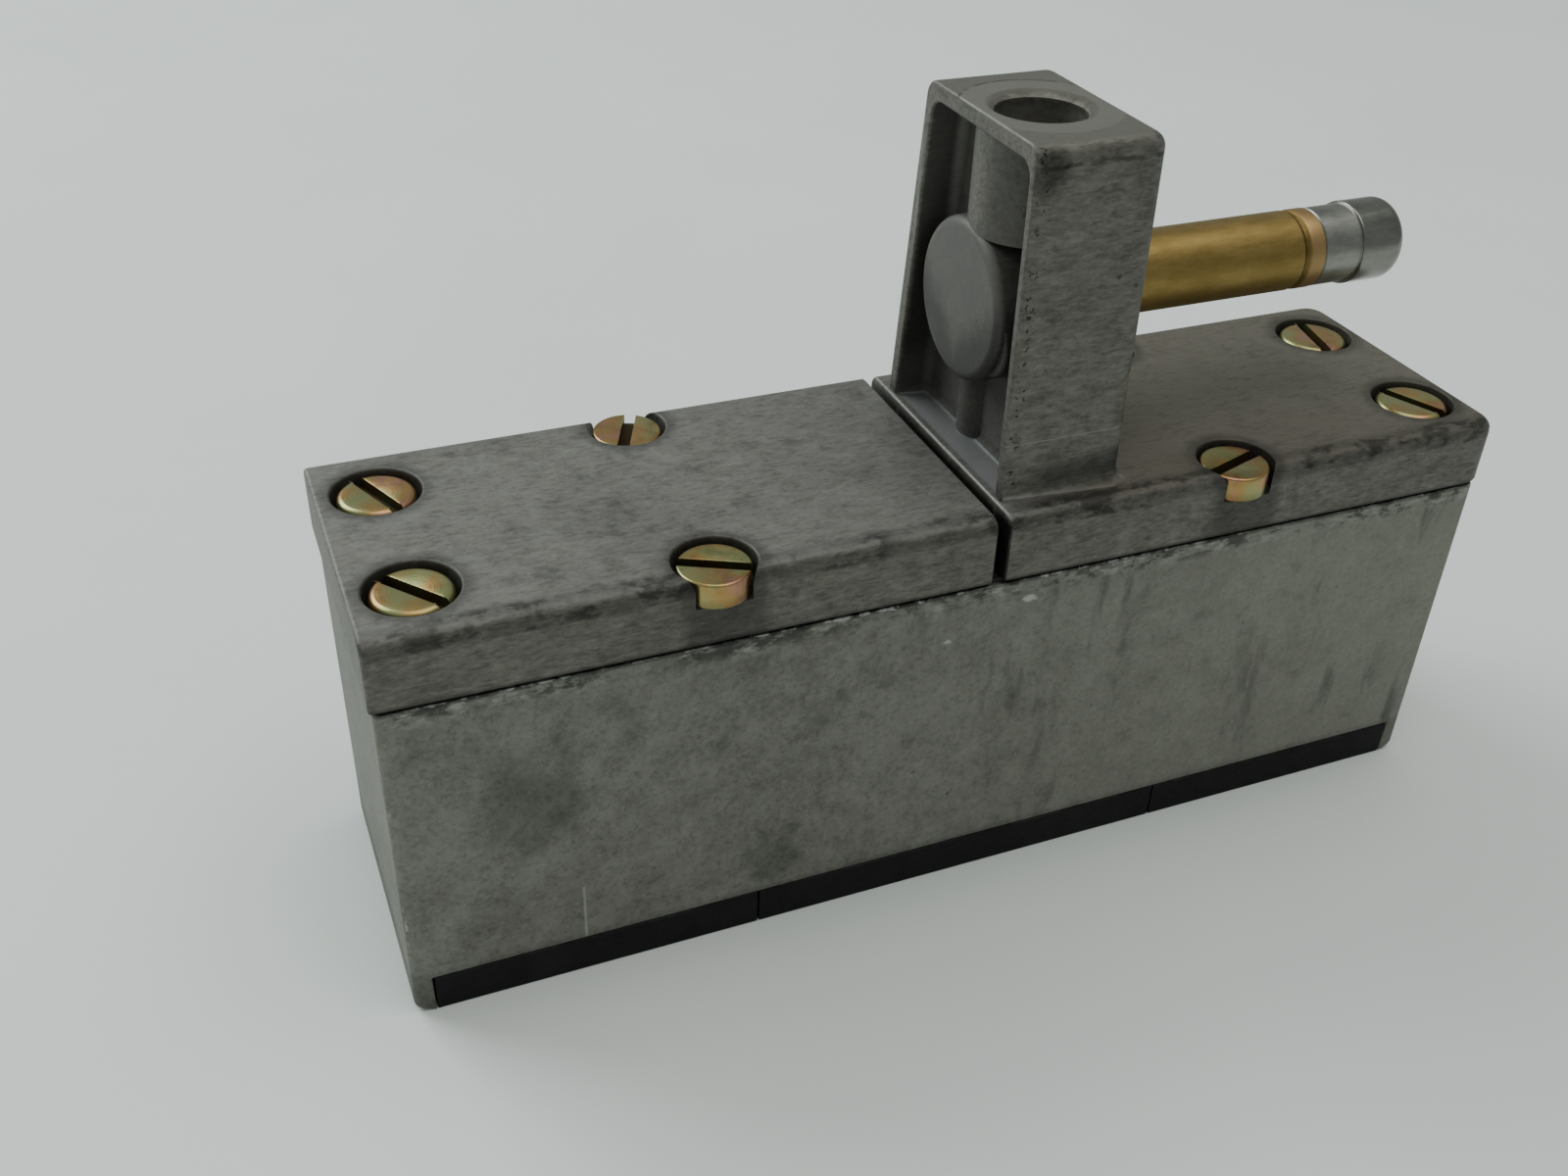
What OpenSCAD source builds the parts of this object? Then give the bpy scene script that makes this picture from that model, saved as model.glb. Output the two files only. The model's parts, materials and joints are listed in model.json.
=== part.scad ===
// Pilot-operated pneumatic valve with its coil taken off: a die-cast body on a ported base,
// two covers, and a tower that carries the armature guide tube.
// Frame: X along the length, Y across the width, Z up. The origin is under the middle of the body.

/* [Covers] */
// Overall length over both covers
cover_l = 120; // [112:0.5:150]
// Overall width of the covers
cover_w = 32; // [31:0.5:42]
// Thickness of each cover
cover_t = 7.2; // [6.5:0.1:9]
// Middle of the gap between the covers, along the length
split_x = 0.2; // [-2:0.1:2]
// Width of the gap between the covers
split_gap = 1.2; // [0.8:0.1:2]
// Rounding of the covers' top edges
cover_edge_r = 1.3; // [0.5:0.1:2]
// Rounding of the blank cover's outer corners, seen from above
blank_corner_r = 1.2; // [0.5:0.1:3]
// Rounding of the pilot cover's outer corners, seen from above
pilot_corner_r = 2.5; // [0.5:0.1:4]

/* [Body] */
// Height of the body, from its feet to the gasket
body_h = 37.3; // [36:0.1:46]
// How far the body's faces sit inside the covers' edges
body_inset = 0.35; // [0.2:0.05:0.8]
// The same at the pilot end
body_inset_far = 0.9; // [0.2:0.05:1.2]
// Rounding of the body's upright edges
body_edge_r = 0.8; // [0.3:0.1:2]
// Rounding of the feet's lower corners
foot_r = 1.2; // [0.3:0.1:1.6]
// Length of the foot at each end of the body
foot_l = 2.0; // [1.7:0.1:3]
// Thickness of the gasket under the covers
gasket_t = 0.4; // [0.3:0.1:0.8]
// How far the gasket sits inside the body's faces
gasket_inset = 0.5; // [0.2:0.1:0.7]

/* [Base pads and ports] */
// Thickness of the base pads
pad_t = 4.3; // [3.6:0.1:5.2]
// Length of the middle pad
centre_pad_l = 47.8; // [44:0.1:58]
// Gap between neighbouring pads
pad_gap = 0.15; // [0.05:0.05:0.4]
// Radius of the five ports in the body
port_r = 3.0; // [2.4:0.1:3.2]
// Radius of the ports in the pads
pad_port_r = 3.5; // [3.4:0.1:4]
// Distance of the two working ports from the middle
work_port_x = 16; // [14:0.5:19]
// Distance of the two exhaust ports from the middle
exhaust_port_x = 28.5; // [28:0.1:30]
// Offset of the ports to the front and the back
port_y = 5.4; // [5.2:0.1:6]
// Radius of the tapping drill for the four mounting holes
mount_hole_r = 1.65; // [1.25:0.05:2.1]
// Depth of the mounting holes in the body
mount_hole_d = 8; // [5:0.5:10]
// Distance of the mounting holes from each end of the body
mount_inset_x = 8; // [6:0.5:10]
// Distance of the mounting holes from the middle plane
mount_y = 10.5; // [9:0.1:12]

/* [Screws] */
// Radius of the screw threads
thread_r = 2.0; // [1.5:0.1:2.4]
// Clearance of the screws in the covers
screw_clear = 0.2; // [0.1:0.05:0.4]
// Height of the screw heads
head_h = 2.6; // [2.1:0.1:3.2]
// Radius of the end screws' heads
end_head_r = 3.75; // [3.1:0.05:4.5]
// Radius of the side screws' heads
side_head_r = 3.5; // [3:0.05:4.2]
// Clearance around the end screws' heads
end_pocket_clear = 0.55; // [0.2:0.05:0.8]
// Clearance around the side screws' heads
side_pocket_clear = 0.6; // [0.2:0.05:0.9]
// How far the end screws' heads sit below the cover
end_head_sink = 0.25; // [0:0.05:0.8]
// How far the side screws' heads sit below the cover
side_head_sink = 0.5; // [0:0.05:1]
// Distance of the end screws from the covers' ends
end_screw_inset = 5.8; // [5.4:0.1:7]
// Distance of the end screws from the middle plane
end_screw_y = 8.57; // [8:0.01:10]
// Distance of the side screws from the covers' ends
side_screw_inset = 32; // [31:0.1:34]
// Distance of the side screws from the covers' side faces
side_screw_edge = 2.84; // [2.7:0.01:3.4]
// Width of the screw slots
slot_w = 1.2; // [0.8:0.1:1.5]
// Depth of the screw slots
slot_d = 1.1; // [0.8:0.1:1.5]
// Depth of the threads in the body
thread_d = 12; // [8:0.5:14]

/* [Tower] */
// Height of the tower above the covers
tower_h = 34.3; // [32:0.1:42]
// Length of the tower along X
tower_l = 13.8; // [13.4:0.1:17]
// Front face of the tower from the middle plane, at the top
tower_front_top = 12.15; // [11.6:0.05:13.5]
// Front face of the tower from the middle plane, at the foot
tower_front_foot = 12.9; // [12.2:0.05:14]
// Back face of the tower from the middle plane, at the top
tower_back_top = 8.8; // [8.4:0.05:11]
// Back face of the tower from the middle plane, at the foot
tower_back_foot = 12.85; // [11:0.05:14]
// How far the tower's left face stands back from the cover's end
tower_set = 0.35; // [0.2:0.05:0.6]
// Rounding of the tower's upper edges
tower_edge_r = 1.6; // [0.8:0.1:2.4]
// Depth of the recess in the tower's left face
recess_d = 4.2; // [3.6:0.1:4.6]
// Wall in front of the recess
recess_front_wall = 1.1; // [0.8:0.1:1.8]
// Wall behind the recess
recess_back_wall = 1.5; // [0.8:0.1:1.8]
// Wall over the recess
recess_top_wall = 1.7; // [1.2:0.1:2.4]
// Radius of the disc boss behind the tube
disc_r = 8; // [7:0.1:8.4]
// How far the disc boss stays behind the cover's end
disc_sink = 0.5; // [0.4:0.1:1.5]
// Radius of the lobe that covers the supply passage
lobe_r = 3.2; // [2.6:0.1:3.6]
// Radius of the upright rib under the disc boss
rib_r = 2.6; // [2:0.1:3]

/* [Pilot port] */
// Core radius of the G1/8 thread in the tower's top
pilot_port_r = 4.28; // [3.6:0.01:4.5]
// Depth of the pilot port
pilot_port_d = 10; // [8:0.5:11]
// Wall around the pilot port
pilot_port_wall = 1.4; // [1.2:0.1:1.9]
// Axis of the pilot port, from the tower's left face
pilot_port_x = 6.4; // [6:0.1:7]
// Axis of the pilot port, in front of the middle plane
pilot_port_y = 2.0; // [1:0.1:2.6]

/* [Guide tube] */
// Height of the tube's axis above the covers
tube_rise = 15.6; // [14.5:0.1:19]
// Outer radius of the brass tube
tube_r = 4.1; // [3.9:0.05:4.5]
// Wall of the brass tube
tube_wall = 0.45; // [0.35:0.05:0.6]
// How much thicker the tube's root is, where the tower holds it
tube_root = 0.2; // [0.1:0.05:0.4]
// Free length of the brass tube, from the tower
tube_out = 27.3; // [25:0.1:34]
// Length of the steel end that stands out of the tube
tip_l = 10.3; // [9:0.1:12]
// Length of the thicker part of the steel end
tip_head_l = 5.7; // [4:0.1:8]
// How much the thicker part is larger, in radius
tip_swell = 0.2; // [0.05:0.05:0.22]
// Rounding of the steel end
tip_round_r = 1.5; // [0.5:0.1:2.5]
// Distance of the crimped groove from the tube's end
crimp_in = 2.2; // [1.6:0.1:4]
// Depth of the crimped groove
crimp_d = 0.3; // [0.15:0.05:0.35]

/* [Armature] */
// Lift of the armature
armature_lift = 1.4; // [1:0.1:2]
// Running clearance of the armature in the tube
armature_clear = 0.06; // [0.03:0.01:0.09]
// Length of the armature
armature_l = 22.4; // [19:0.1:24]
// Radius of the spring bore in the armature and the pole piece
spring_bore_r = 2.1; // [1.8:0.1:2.3]
// Depth of the spring bore in the armature
spring_bore_d = 6; // [4:0.5:8]
// Depth of the spring bore in the pole piece
pole_bore_d = 3; // [2:0.5:5]
// Radius of the nozzle's body
nozzle_r = 2.6; // [2.2:0.1:3]
// Bore of the nozzle
nozzle_bore_r = 0.6; // [0.4:0.05:0.8]
// Radius of the pilot passages
passage_r = 1.0; // [0.7:0.05:1.2]

/* [Valve stacks] */
// Radius of the piston chambers
piston_r = 9.5; // [8:0.1:11.4]
// Thickness of the pistons
piston_t = 4.2; // [3.6:0.1:4.8]
// Travel of the pistons and the poppets
stroke = 2.2; // [1.6:0.1:2.6]
// Radius of the bores that hold the seats
stack_r = 7.5; // [6.6:0.1:7.8]
// Floor of the body under the stacks
stack_floor_t = 2.7; // [2:0.1:3.2]
// Height of the lower chamber
low_chamber_h = 4.6; // [4.2:0.1:5]
// Thickness of the seat rings, without their lips
seat_t = 2.0; // [1.6:0.1:2.4]
// Height of the seats' lips
lip_h = 0.6; // [0.4:0.1:0.8]
// Bore of the seats
seat_bore_r = 4.0; // [3.6:0.1:4.4]
// Radius of the poppet discs
poppet_r = 5.6; // [5.2:0.1:6]
// Thickness of the poppet discs
poppet_t = 2.9; // [2.4:0.1:3.4]
// Height of the upper chamber
high_chamber_h = 4.4; // [4.2:0.1:5]
// Height of the stem guides
guide_h = 3.4; // [3:0.1:4]
// Radius of the stems
stem_r = 1.5; // [1.2:0.05:1.8]
// Running clearance of the stems and the pistons
run_clear = 0.05; // [0.03:0.01:0.08]
// Radius of the galleries in the body
gallery_r = 2.0; // [1.6:0.1:2.1]

/* [Hidden] */
$fn = 64;
arc_steps = 6;   // straight steps in each rounded corner
eps = 0.01;      // overlap that keeps cuts and unions clean
touch = 0.03;    // gap between pieces that rest on each other but move apart
alloy = [0.50, 0.49, 0.46];
zinc_yellow = [0.72, 0.58, 0.30];
brass = [0.76, 0.60, 0.24];
steel = [0.60, 0.60, 0.59];
black_rubber = [0.06, 0.06, 0.065];
dark_grey = [0.20, 0.20, 0.20];

// levels of the covers
cover_z = body_h + gasket_t;
cover_top = cover_z + cover_t;
// the body's ends and sides
body_x0 = -cover_l / 2 + body_inset;
body_x1 = cover_l / 2 - body_inset_far;
body_y = cover_w / 2 - body_inset;
// screws
end_screw_x = cover_l / 2 - end_screw_inset;
side_screw_x = cover_l / 2 - side_screw_inset;
side_screw_y = cover_w / 2 - side_screw_edge;
screw_hole_r = thread_r + screw_clear;
thread_gap = 0.03;
end_seat_z = cover_top - end_head_sink - head_h;
side_seat_z = cover_top - side_head_sink - head_h;
head_chamfer = 0.3;
inner_edge_r = 0.4;
// directions of the screw slots, seen from above: left front, left back, right front, right back
end_slot_angles = [-51, -67, -66, 78];
side_slot_angles = [-26, 67, 18, 40];
// tower
tower_x = split_x + split_gap / 2;
tower_top = cover_top + tower_h;
tower_right = tower_x + tower_l;
tube_z = cover_top + tube_rise;
recess_x = tower_x + recess_d;
disc_x = tower_x + disc_sink;
lobe_y = -(disc_r - lobe_r) - 1.0;
lobe_z = tube_z - 2.4;
disc_y = -0.5;
rib_y = 0.9;
rib_x = recess_x + 1.3;
port_axis_x = tower_x + pilot_port_x;
port_boss_r = pilot_port_r + pilot_port_wall;
// what the tube's bore in the tower holds, from the left
nozzle_pocket_x = tower_x + 4.8;
nozzle_x = nozzle_pocket_x + 1.0;
nozzle_l = 3.0;
nozzle_tip_l = 1.0;
nozzle_tip_r = 1.4;
chamber_x = nozzle_x + nozzle_l;
tube_end_x = tower_right + tube_out;
tube_bore_r = tube_r - tube_wall;
tube_root_r = tube_r + tube_root;
seat_x = chamber_x + nozzle_tip_l;
armature_r = tube_bore_r - armature_clear;
armature_x = seat_x + 0.15;
seal_proud = 0.12;
seal_r = 1.9;
seal_l = 2.0;
pole_x = armature_x + armature_l + armature_lift + 0.1;
tip_x = tube_end_x + tip_l;
tip_head_x = tip_x - tip_head_l;
ring_r = tube_bore_r - 0.75;
ring_w = 0.35;
ring_d = 1.0;
o_ring_x = tower_right - 1.5;
o_ring_wire_r = 0.6;
supply_x = nozzle_pocket_x + passage_r + 0.3;
signal_x = chamber_x + 1.7;
bleed_r = 0.8;
bleed_x = port_axis_x + pilot_port_r - bleed_r - 0.6;
// stacks: centred between the end screws and the side screws
stack_x = (end_screw_x + side_screw_x) / 2;
z_floor = pad_t + stack_floor_t;
z_low_seat = z_floor + low_chamber_h;
mid_h = 2 * lip_h + poppet_t + stroke + 2 * touch;
z_mid = z_low_seat + seat_t;
z_high_seat = z_mid + mid_h;
z_high = z_high_seat + seat_t;
z_guide = z_high + high_chamber_h;
z_piston_floor = z_guide + guide_h;
piston_top_gap = 0.5;
z_piston = body_h - piston_top_gap - piston_t;
z_poppet = z_high_seat - lip_h - touch - poppet_t;
sleeve_wall = 0.9;
stem_nut_h = 1.0;
stem_nut_r = 2.3;
spring_wire_r = 0.3;
spring_r = 2.95;
signal_groove_w = 3;
signal_groove_d = 1.6;
low_gallery_z = z_floor + low_chamber_h / 2;
mid_gallery_z = z_mid + mid_h / 2;
high_gallery_z = z_high + high_chamber_h / 2;
pad_x0 = body_x0 + foot_l;
pad_x1 = body_x1 - foot_l;
centre_pad_x0 = split_x - centre_pad_l / 2;
centre_pad_x1 = split_x + centre_pad_l / 2;
mount_x0 = body_x0 + mount_inset_x;
mount_x1 = body_x1 - mount_inset_x;
pad_hole_r = mount_hole_r + 0.75;

// distance of the tower's front and back faces from the middle plane at a height
function tower_front(z) =
    tower_front_foot + (tower_front_top - tower_front_foot) * (z - cover_top) / tower_h;
function tower_back(z) =
    tower_back_foot + (tower_back_top - tower_back_foot) * (z - cover_top) / tower_h;

// ---------- shared shapes ----------

// points of a round corner about a centre, from one direction to another
function arc(x, y, r, from, to) = r == 0 ? [[x, y]] :
    [for (i = [0:arc_steps]) let (a = from + (to - from) * i / arc_steps)
        [x + r * cos(a), y + r * sin(a)]];

// rectangle between two corners; radii run anticlockwise from the lower left corner
module round_rect(x0, y0, x1, y1, radii) {
    polygon(concat(
        arc(x0 + radii[0], y0 + radii[0], radii[0], 180, 270),
        arc(x1 - radii[1], y0 + radii[1], radii[1], 270, 360),
        arc(x1 - radii[2], y1 - radii[2], radii[2], 0, 90),
        arc(x0 + radii[3], y1 - radii[3], radii[3], 90, 180)));
}

// extrudes an XZ outline across the width
module across(w) {
    rotate([90, 0, 0])
        linear_extrude(w, center = true)
            children();
}

// extrudes a YZ outline along the length, from x0 to x1
module along(x0, x1) {
    translate([x0, 0, 0])
        rotate([90, 0, 90])
            linear_extrude(x1 - x0)
                children();
}

// round rod along X
module x_rod(r, x0, x1) {
    translate([x0, 0, 0])
        rotate([0, 90, 0])
            cylinder(r = r, h = x1 - x0);
}

// ring with a round section, about Z
module o_ring(inner_r, wire_r) {
    rotate_extrude()
        translate([inner_r + wire_r, 0])
            circle(wire_r, $fn = 24);
}

// coil spring along Z, from z = 0 to z = length
module coil_spring(mean_r, wire_r, length, turns) {
    sides = 6;
    steps = 14;
    rings = turns * steps;
    points = [for (i = [0:rings], j = [0:sides - 1])
        let (turn = 360 * i / steps, a = 360 * j / sides, r = mean_r + wire_r * cos(a))
        [r * cos(turn), r * sin(turn),
            wire_r + (length - 2 * wire_r) * i / rings + wire_r * sin(a)]];
    walls = [for (i = [0:rings - 1], j = [0:sides - 1])
        let (a = i * sides + j, b = i * sides + (j + 1) % sides)
        [b, a, a + sides, b + sides]];
    first = [for (j = [0:sides - 1]) j];
    last = [for (j = [sides - 1:-1:0]) rings * sides + j];
    polyhedron(points, concat([first], walls, [last]), convexity = 6);
}

// slotted cheese-head screw, pointing down, with the underside of its head at z = 0
module slotted_screw(head_r, shank_l, slot_angle) {
    difference() {
        union() {
            rotate_extrude()
                polygon([[0, 0], [head_r, 0], [head_r, head_h - head_chamfer],
                    [head_r - head_chamfer, head_h], [0, head_h]]);
            translate([0, 0, -shank_l])
                cylinder(r = thread_r, h = shank_l + eps);
        }
        rotate([0, 0, slot_angle])
            translate([-head_r - 1, -slot_w / 2, head_h - slot_d])
                cube([2 * head_r + 2, slot_w, slot_d + 1]);
    }
}

// places a child at the four screws of one pattern, with the number of each screw
module at_screws(x, y, z) {
    for (i = [0:3]) {
        $screw = i;
        translate([i < 2 ? -x : x, i % 2 == 0 ? -y : y, z])
            children();
    }
}

// ---------- covers ----------

// flat slab of one cover; outer says which end is the outer one, -1 or 1
module cover_slab(x0, x1, corner_r, outer) {
    left_r = outer < 0 ? corner_r : inner_edge_r;
    right_r = outer < 0 ? inner_edge_r : corner_r;
    half_w = cover_w / 2;
    intersection() {
        translate([0, 0, cover_z])
            linear_extrude(cover_t)
                round_rect(x0, -half_w, x1, half_w, [left_r, right_r, right_r, left_r]);
        along(x0 - 1, x1 + 1)
            round_rect(-half_w, cover_z, half_w, cover_top, [0, 0, cover_edge_r, cover_edge_r]);
        across(cover_w + 2)
            round_rect(x0, cover_z, x1, cover_top, outer < 0
                ? [0, 0, inner_edge_r, cover_edge_r]
                : [0, 0, cover_edge_r, inner_edge_r]);
    }
}

// holes and head pockets of the four screws of both covers
module cover_screw_cuts() {
    at_screws(end_screw_x, end_screw_y, 0) {
        translate([0, 0, cover_z - 1])
            cylinder(r = screw_hole_r, h = cover_t + 2);
        translate([0, 0, end_seat_z])
            cylinder(r = end_head_r + end_pocket_clear, h = cover_t);
    }
    at_screws(side_screw_x, side_screw_y, 0) {
        translate([0, 0, cover_z - 1])
            cylinder(r = screw_hole_r, h = cover_t + 2);
        translate([0, 0, side_seat_z])
            cylinder(r = side_head_r + side_pocket_clear, h = cover_t);
    }
}

module blank_cover() {
    color(alloy)
        difference() {
            cover_slab(-cover_l / 2, split_x - split_gap / 2, blank_corner_r, -1);
            cover_screw_cuts();
        }
}

// outline of the tower seen along X, between two heights, drawn in by a wall on each side
module tower_outline(z0, z1, front_wall, back_wall, r) {
    f0 = tower_front(z0) - front_wall;
    f1 = tower_front(z1) - front_wall;
    b0 = tower_back(z0) - back_wall;
    b1 = tower_back(z1) - back_wall;
    front_lean = atan2(f0 - f1, z1 - z0);
    back_lean = atan2(b0 - b1, z1 - z0);
    polygon(concat(
        [[-f0, z0], [b0, z0]],
        arc(b1 + r * tan(back_lean) - r / cos(back_lean), z1 - r, r, back_lean, 90),
        arc(-f1 - r * tan(front_lean) + r / cos(front_lean), z1 - r, r, 90, 180 - front_lean)));
}

module tower_block() {
    intersection() {
        along(tower_x + tower_set, tower_right + 1)
            tower_outline(cover_top - 1, tower_top, 0, 0, tower_edge_r);
        across(2 * cover_w)
            round_rect(tower_x + tower_set, cover_z, tower_right, tower_top,
                [0, 0, tower_edge_r, inner_edge_r]);
    }
}

// bosses and rib that stand in the recess of the tower
module recess_bosses() {
    translate([port_axis_x, -pilot_port_y, tower_top - pilot_port_d - pilot_port_wall])
        cylinder(r = port_boss_r, h = pilot_port_d + 1);
    translate([0, disc_y, tube_z])
        x_rod(disc_r, disc_x, recess_x + 1);
    translate([0, lobe_y, lobe_z])
        x_rod(lobe_r, disc_x, recess_x + 1);
    translate([disc_x, lobe_y - lobe_r, lobe_z])
        cube([recess_x + 1 - disc_x, disc_r, tube_z - lobe_z]);
    translate([rib_x, rib_y, cover_top - 1])
        cylinder(r = rib_r, h = tube_rise);
}

// air passages that run inside the tower and its cover
module pilot_passages() {
    translate([port_axis_x, -pilot_port_y, tower_top - pilot_port_d])
        cylinder(r = pilot_port_r, h = pilot_port_d + 1);
    translate([0, 0, tube_z]) {
        x_rod(tube_root_r, chamber_x, tower_right + 1);
        x_rod(nozzle_r, nozzle_pocket_x, chamber_x + eps);
    }
    translate([supply_x, lobe_y, cover_z - 1])
        cylinder(r = passage_r, h = lobe_z - cover_z + 1);
    translate([supply_x, 0, tube_z])
        rotate([90 + atan2(tube_z - lobe_z, -lobe_y), 0, 0])
            cylinder(r = passage_r, h = norm([lobe_y, tube_z - lobe_z]));
    translate([signal_x, 0, cover_z - 1])
        cylinder(r = passage_r, h = tube_rise + cover_t + 1 - tube_r / 2);
    translate([bleed_x, -pilot_port_y, tube_z])
        cylinder(r = bleed_r, h = tower_top - pilot_port_d + 1 - tube_z);
    translate([o_ring_x, 0, tube_z])
        rotate([0, 90, 0])
            cylinder(r = tube_root_r + 2 * o_ring_wire_r - 0.1, h = 2.2 * o_ring_wire_r,
                center = true);
}

module pilot_cover() {
    color(alloy)
        difference() {
            union() {
                cover_slab(tower_x, cover_l / 2, pilot_corner_r, 1);
                difference() {
                    tower_block();
                    along(tower_x - 1, recess_x)
                        tower_outline(cover_top, tower_top - recess_top_wall,
                            recess_front_wall, recess_back_wall, 0.8);
                }
                recess_bosses();
            }
            pilot_passages();
            cover_screw_cuts();
        }
}

module cover_gasket() {
    color(black_rubber)
        difference() {
            translate([0, 0, body_h])
                linear_extrude(gasket_t)
                    round_rect(body_x0 + gasket_inset, -body_y + gasket_inset,
                        body_x1 - gasket_inset, body_y - gasket_inset, [1, 1, 1, 1]);
            at_screws(end_screw_x, end_screw_y, body_h - 1)
                cylinder(r = screw_hole_r, h = gasket_t + 2);
            at_screws(side_screw_x, side_screw_y, body_h - 1)
                cylinder(r = screw_hole_r, h = gasket_t + 2);
            translate([supply_x, lobe_y, body_h - 1])
                cylinder(r = passage_r, h = gasket_t + 2);
            translate([signal_x, 0, body_h - 1])
                cylinder(r = passage_r, h = gasket_t + 2);
        }
}

module end_screws() {
    color(zinc_yellow)
        at_screws(end_screw_x, end_screw_y, end_seat_z)
            slotted_screw(end_head_r, end_seat_z - body_h + thread_d, end_slot_angles[$screw]);
}

module side_screws() {
    color(zinc_yellow)
        at_screws(side_screw_x, side_screw_y, side_seat_z)
            slotted_screw(side_head_r, side_seat_z - body_h + thread_d, side_slot_angles[$screw]);
}

// ---------- body and base ----------

// gallery along X at a height, from x0 to x1
module gallery(y, z, x0, x1) {
    translate([0, y, z])
        x_rod(gallery_r, x0, x1);
}

// port from the base up to a height
module port_riser(x, y, top) {
    translate([x, y, pad_t - 1])
        cylinder(r = port_r, h = top - pad_t + 1);
}

module port_cuts() {
    inner = stack_x - stack_r + 2;
    port_riser(0, -port_y, high_gallery_z);
    gallery(-port_y, high_gallery_z, 0, inner);
    gallery(-port_y, low_gallery_z, -inner, 0);
    port_riser(-work_port_x, port_y, mid_gallery_z);
    gallery(port_y, mid_gallery_z, -inner, -work_port_x);
    port_riser(work_port_x, port_y, mid_gallery_z);
    gallery(port_y, mid_gallery_z, work_port_x, inner);
    port_riser(exhaust_port_x, 0, low_gallery_z);
    gallery(0, low_gallery_z, exhaust_port_x, inner);
}

module valve_body() {
    color(alloy)
        difference() {
            intersection() {
                linear_extrude(body_h)
                    round_rect(body_x0, -body_y, body_x1, body_y,
                        [body_edge_r, body_edge_r, body_edge_r, body_edge_r]);
                across(cover_w + 2)
                    round_rect(body_x0, 0, body_x1, body_h, [foot_r, foot_r, 0, 0]);
            }
            translate([pad_x0, -cover_w, -1])
                cube([pad_x1 - pad_x0, 2 * cover_w, pad_t + 1]);
            for (side = [-1, 1])
                translate([side * stack_x, 0, 0]) {
                    translate([0, 0, z_floor])
                        cylinder(r = stack_r, h = body_h);
                    translate([0, 0, z_piston_floor])
                        cylinder(r = piston_r, h = body_h);
                }
            at_screws(end_screw_x, end_screw_y, body_h - thread_d - 2)
                cylinder(r = thread_r + thread_gap, h = thread_d + 3);
            at_screws(side_screw_x, side_screw_y, body_h - thread_d - 2)
                cylinder(r = thread_r + thread_gap, h = thread_d + 3);
            for (x = [mount_x0, mount_x1], y = [-mount_y, mount_y])
                translate([x, y, pad_t - 1])
                    cylinder(r = mount_hole_r, h = mount_hole_d + 1);
            port_cuts();
            left_exhaust_cut();
            translate([-stack_x, -signal_groove_w / 2, body_h - signal_groove_d])
                cube([2 * stack_x, signal_groove_w, signal_groove_d + 1]);
            translate([supply_x, lobe_y, high_gallery_z])
                cylinder(r = passage_r, h = body_h);
        }
}

// the left exhaust rises past the supply gallery and the working gallery to the upper chamber
module left_exhaust_cut() {
    translate([-exhaust_port_x, 0, pad_t - 1])
        cylinder(r = port_r, h = high_gallery_z - pad_t + 1);
    gallery(0, high_gallery_z, -(stack_x - stack_r + 2), -exhaust_port_x);
}

// one base pad between two places along X
module base_pad(x0, x1) {
    color(black_rubber)
        difference() {
            translate([x0, -body_y, 0])
                cube([x1 - x0, 2 * body_y, pad_t]);
            for (port = [[0, -port_y], [-work_port_x, port_y], [work_port_x, port_y],
                    [-exhaust_port_x, 0], [exhaust_port_x, 0]])
                translate([port[0], port[1], -1])
                    cylinder(r = pad_port_r, h = pad_t + 2);
            for (x = [mount_x0, mount_x1], y = [-mount_y, mount_y])
                translate([x, y, -1])
                    cylinder(r = pad_hole_r, h = pad_t + 2);
        }
}

module left_base_pad() {
    base_pad(pad_x0 + pad_gap, centre_pad_x0 - pad_gap);
}

module centre_base_pad() {
    base_pad(centre_pad_x0, centre_pad_x1);
}

module right_base_pad() {
    base_pad(centre_pad_x1 + pad_gap, pad_x1 - pad_gap);
}

// ---------- armature and its tube ----------

module guide_tube() {
    crimp_x = tube_end_x - crimp_in;
    color(brass)
        translate([0, 0, tube_z])
            difference() {
                rotate([0, 90, 0])
                    rotate_extrude()
                        polygon([[tube_bore_r, chamber_x], [tube_root_r, chamber_x],
                            [tube_root_r, tower_right], [tube_r, tower_right],
                            [tube_r, crimp_x - 2 * crimp_d], [tube_r - crimp_d, crimp_x - crimp_d],
                            [tube_r - crimp_d, crimp_x + crimp_d], [tube_r, crimp_x + 2 * crimp_d],
                            [tube_r, tube_end_x], [tube_bore_r, tube_end_x],
                            [tube_bore_r, crimp_x + 2 * crimp_d],
                            [tube_bore_r - crimp_d, crimp_x + crimp_d],
                            [tube_bore_r - crimp_d, crimp_x - crimp_d],
                            [tube_bore_r, crimp_x - 2 * crimp_d]]);
                translate([signal_x, 0, -tube_r - 1])
                    cylinder(r = passage_r, h = tube_r);
                translate([bleed_x, -pilot_port_y, 0])
                    cylinder(r = bleed_r, h = tube_r + 1);
            }
}

module tube_o_ring() {
    color(black_rubber)
        translate([o_ring_x, 0, tube_z])
            rotate([0, 90, 0])
                o_ring(tube_root_r + touch, o_ring_wire_r - 0.08);
}

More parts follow.
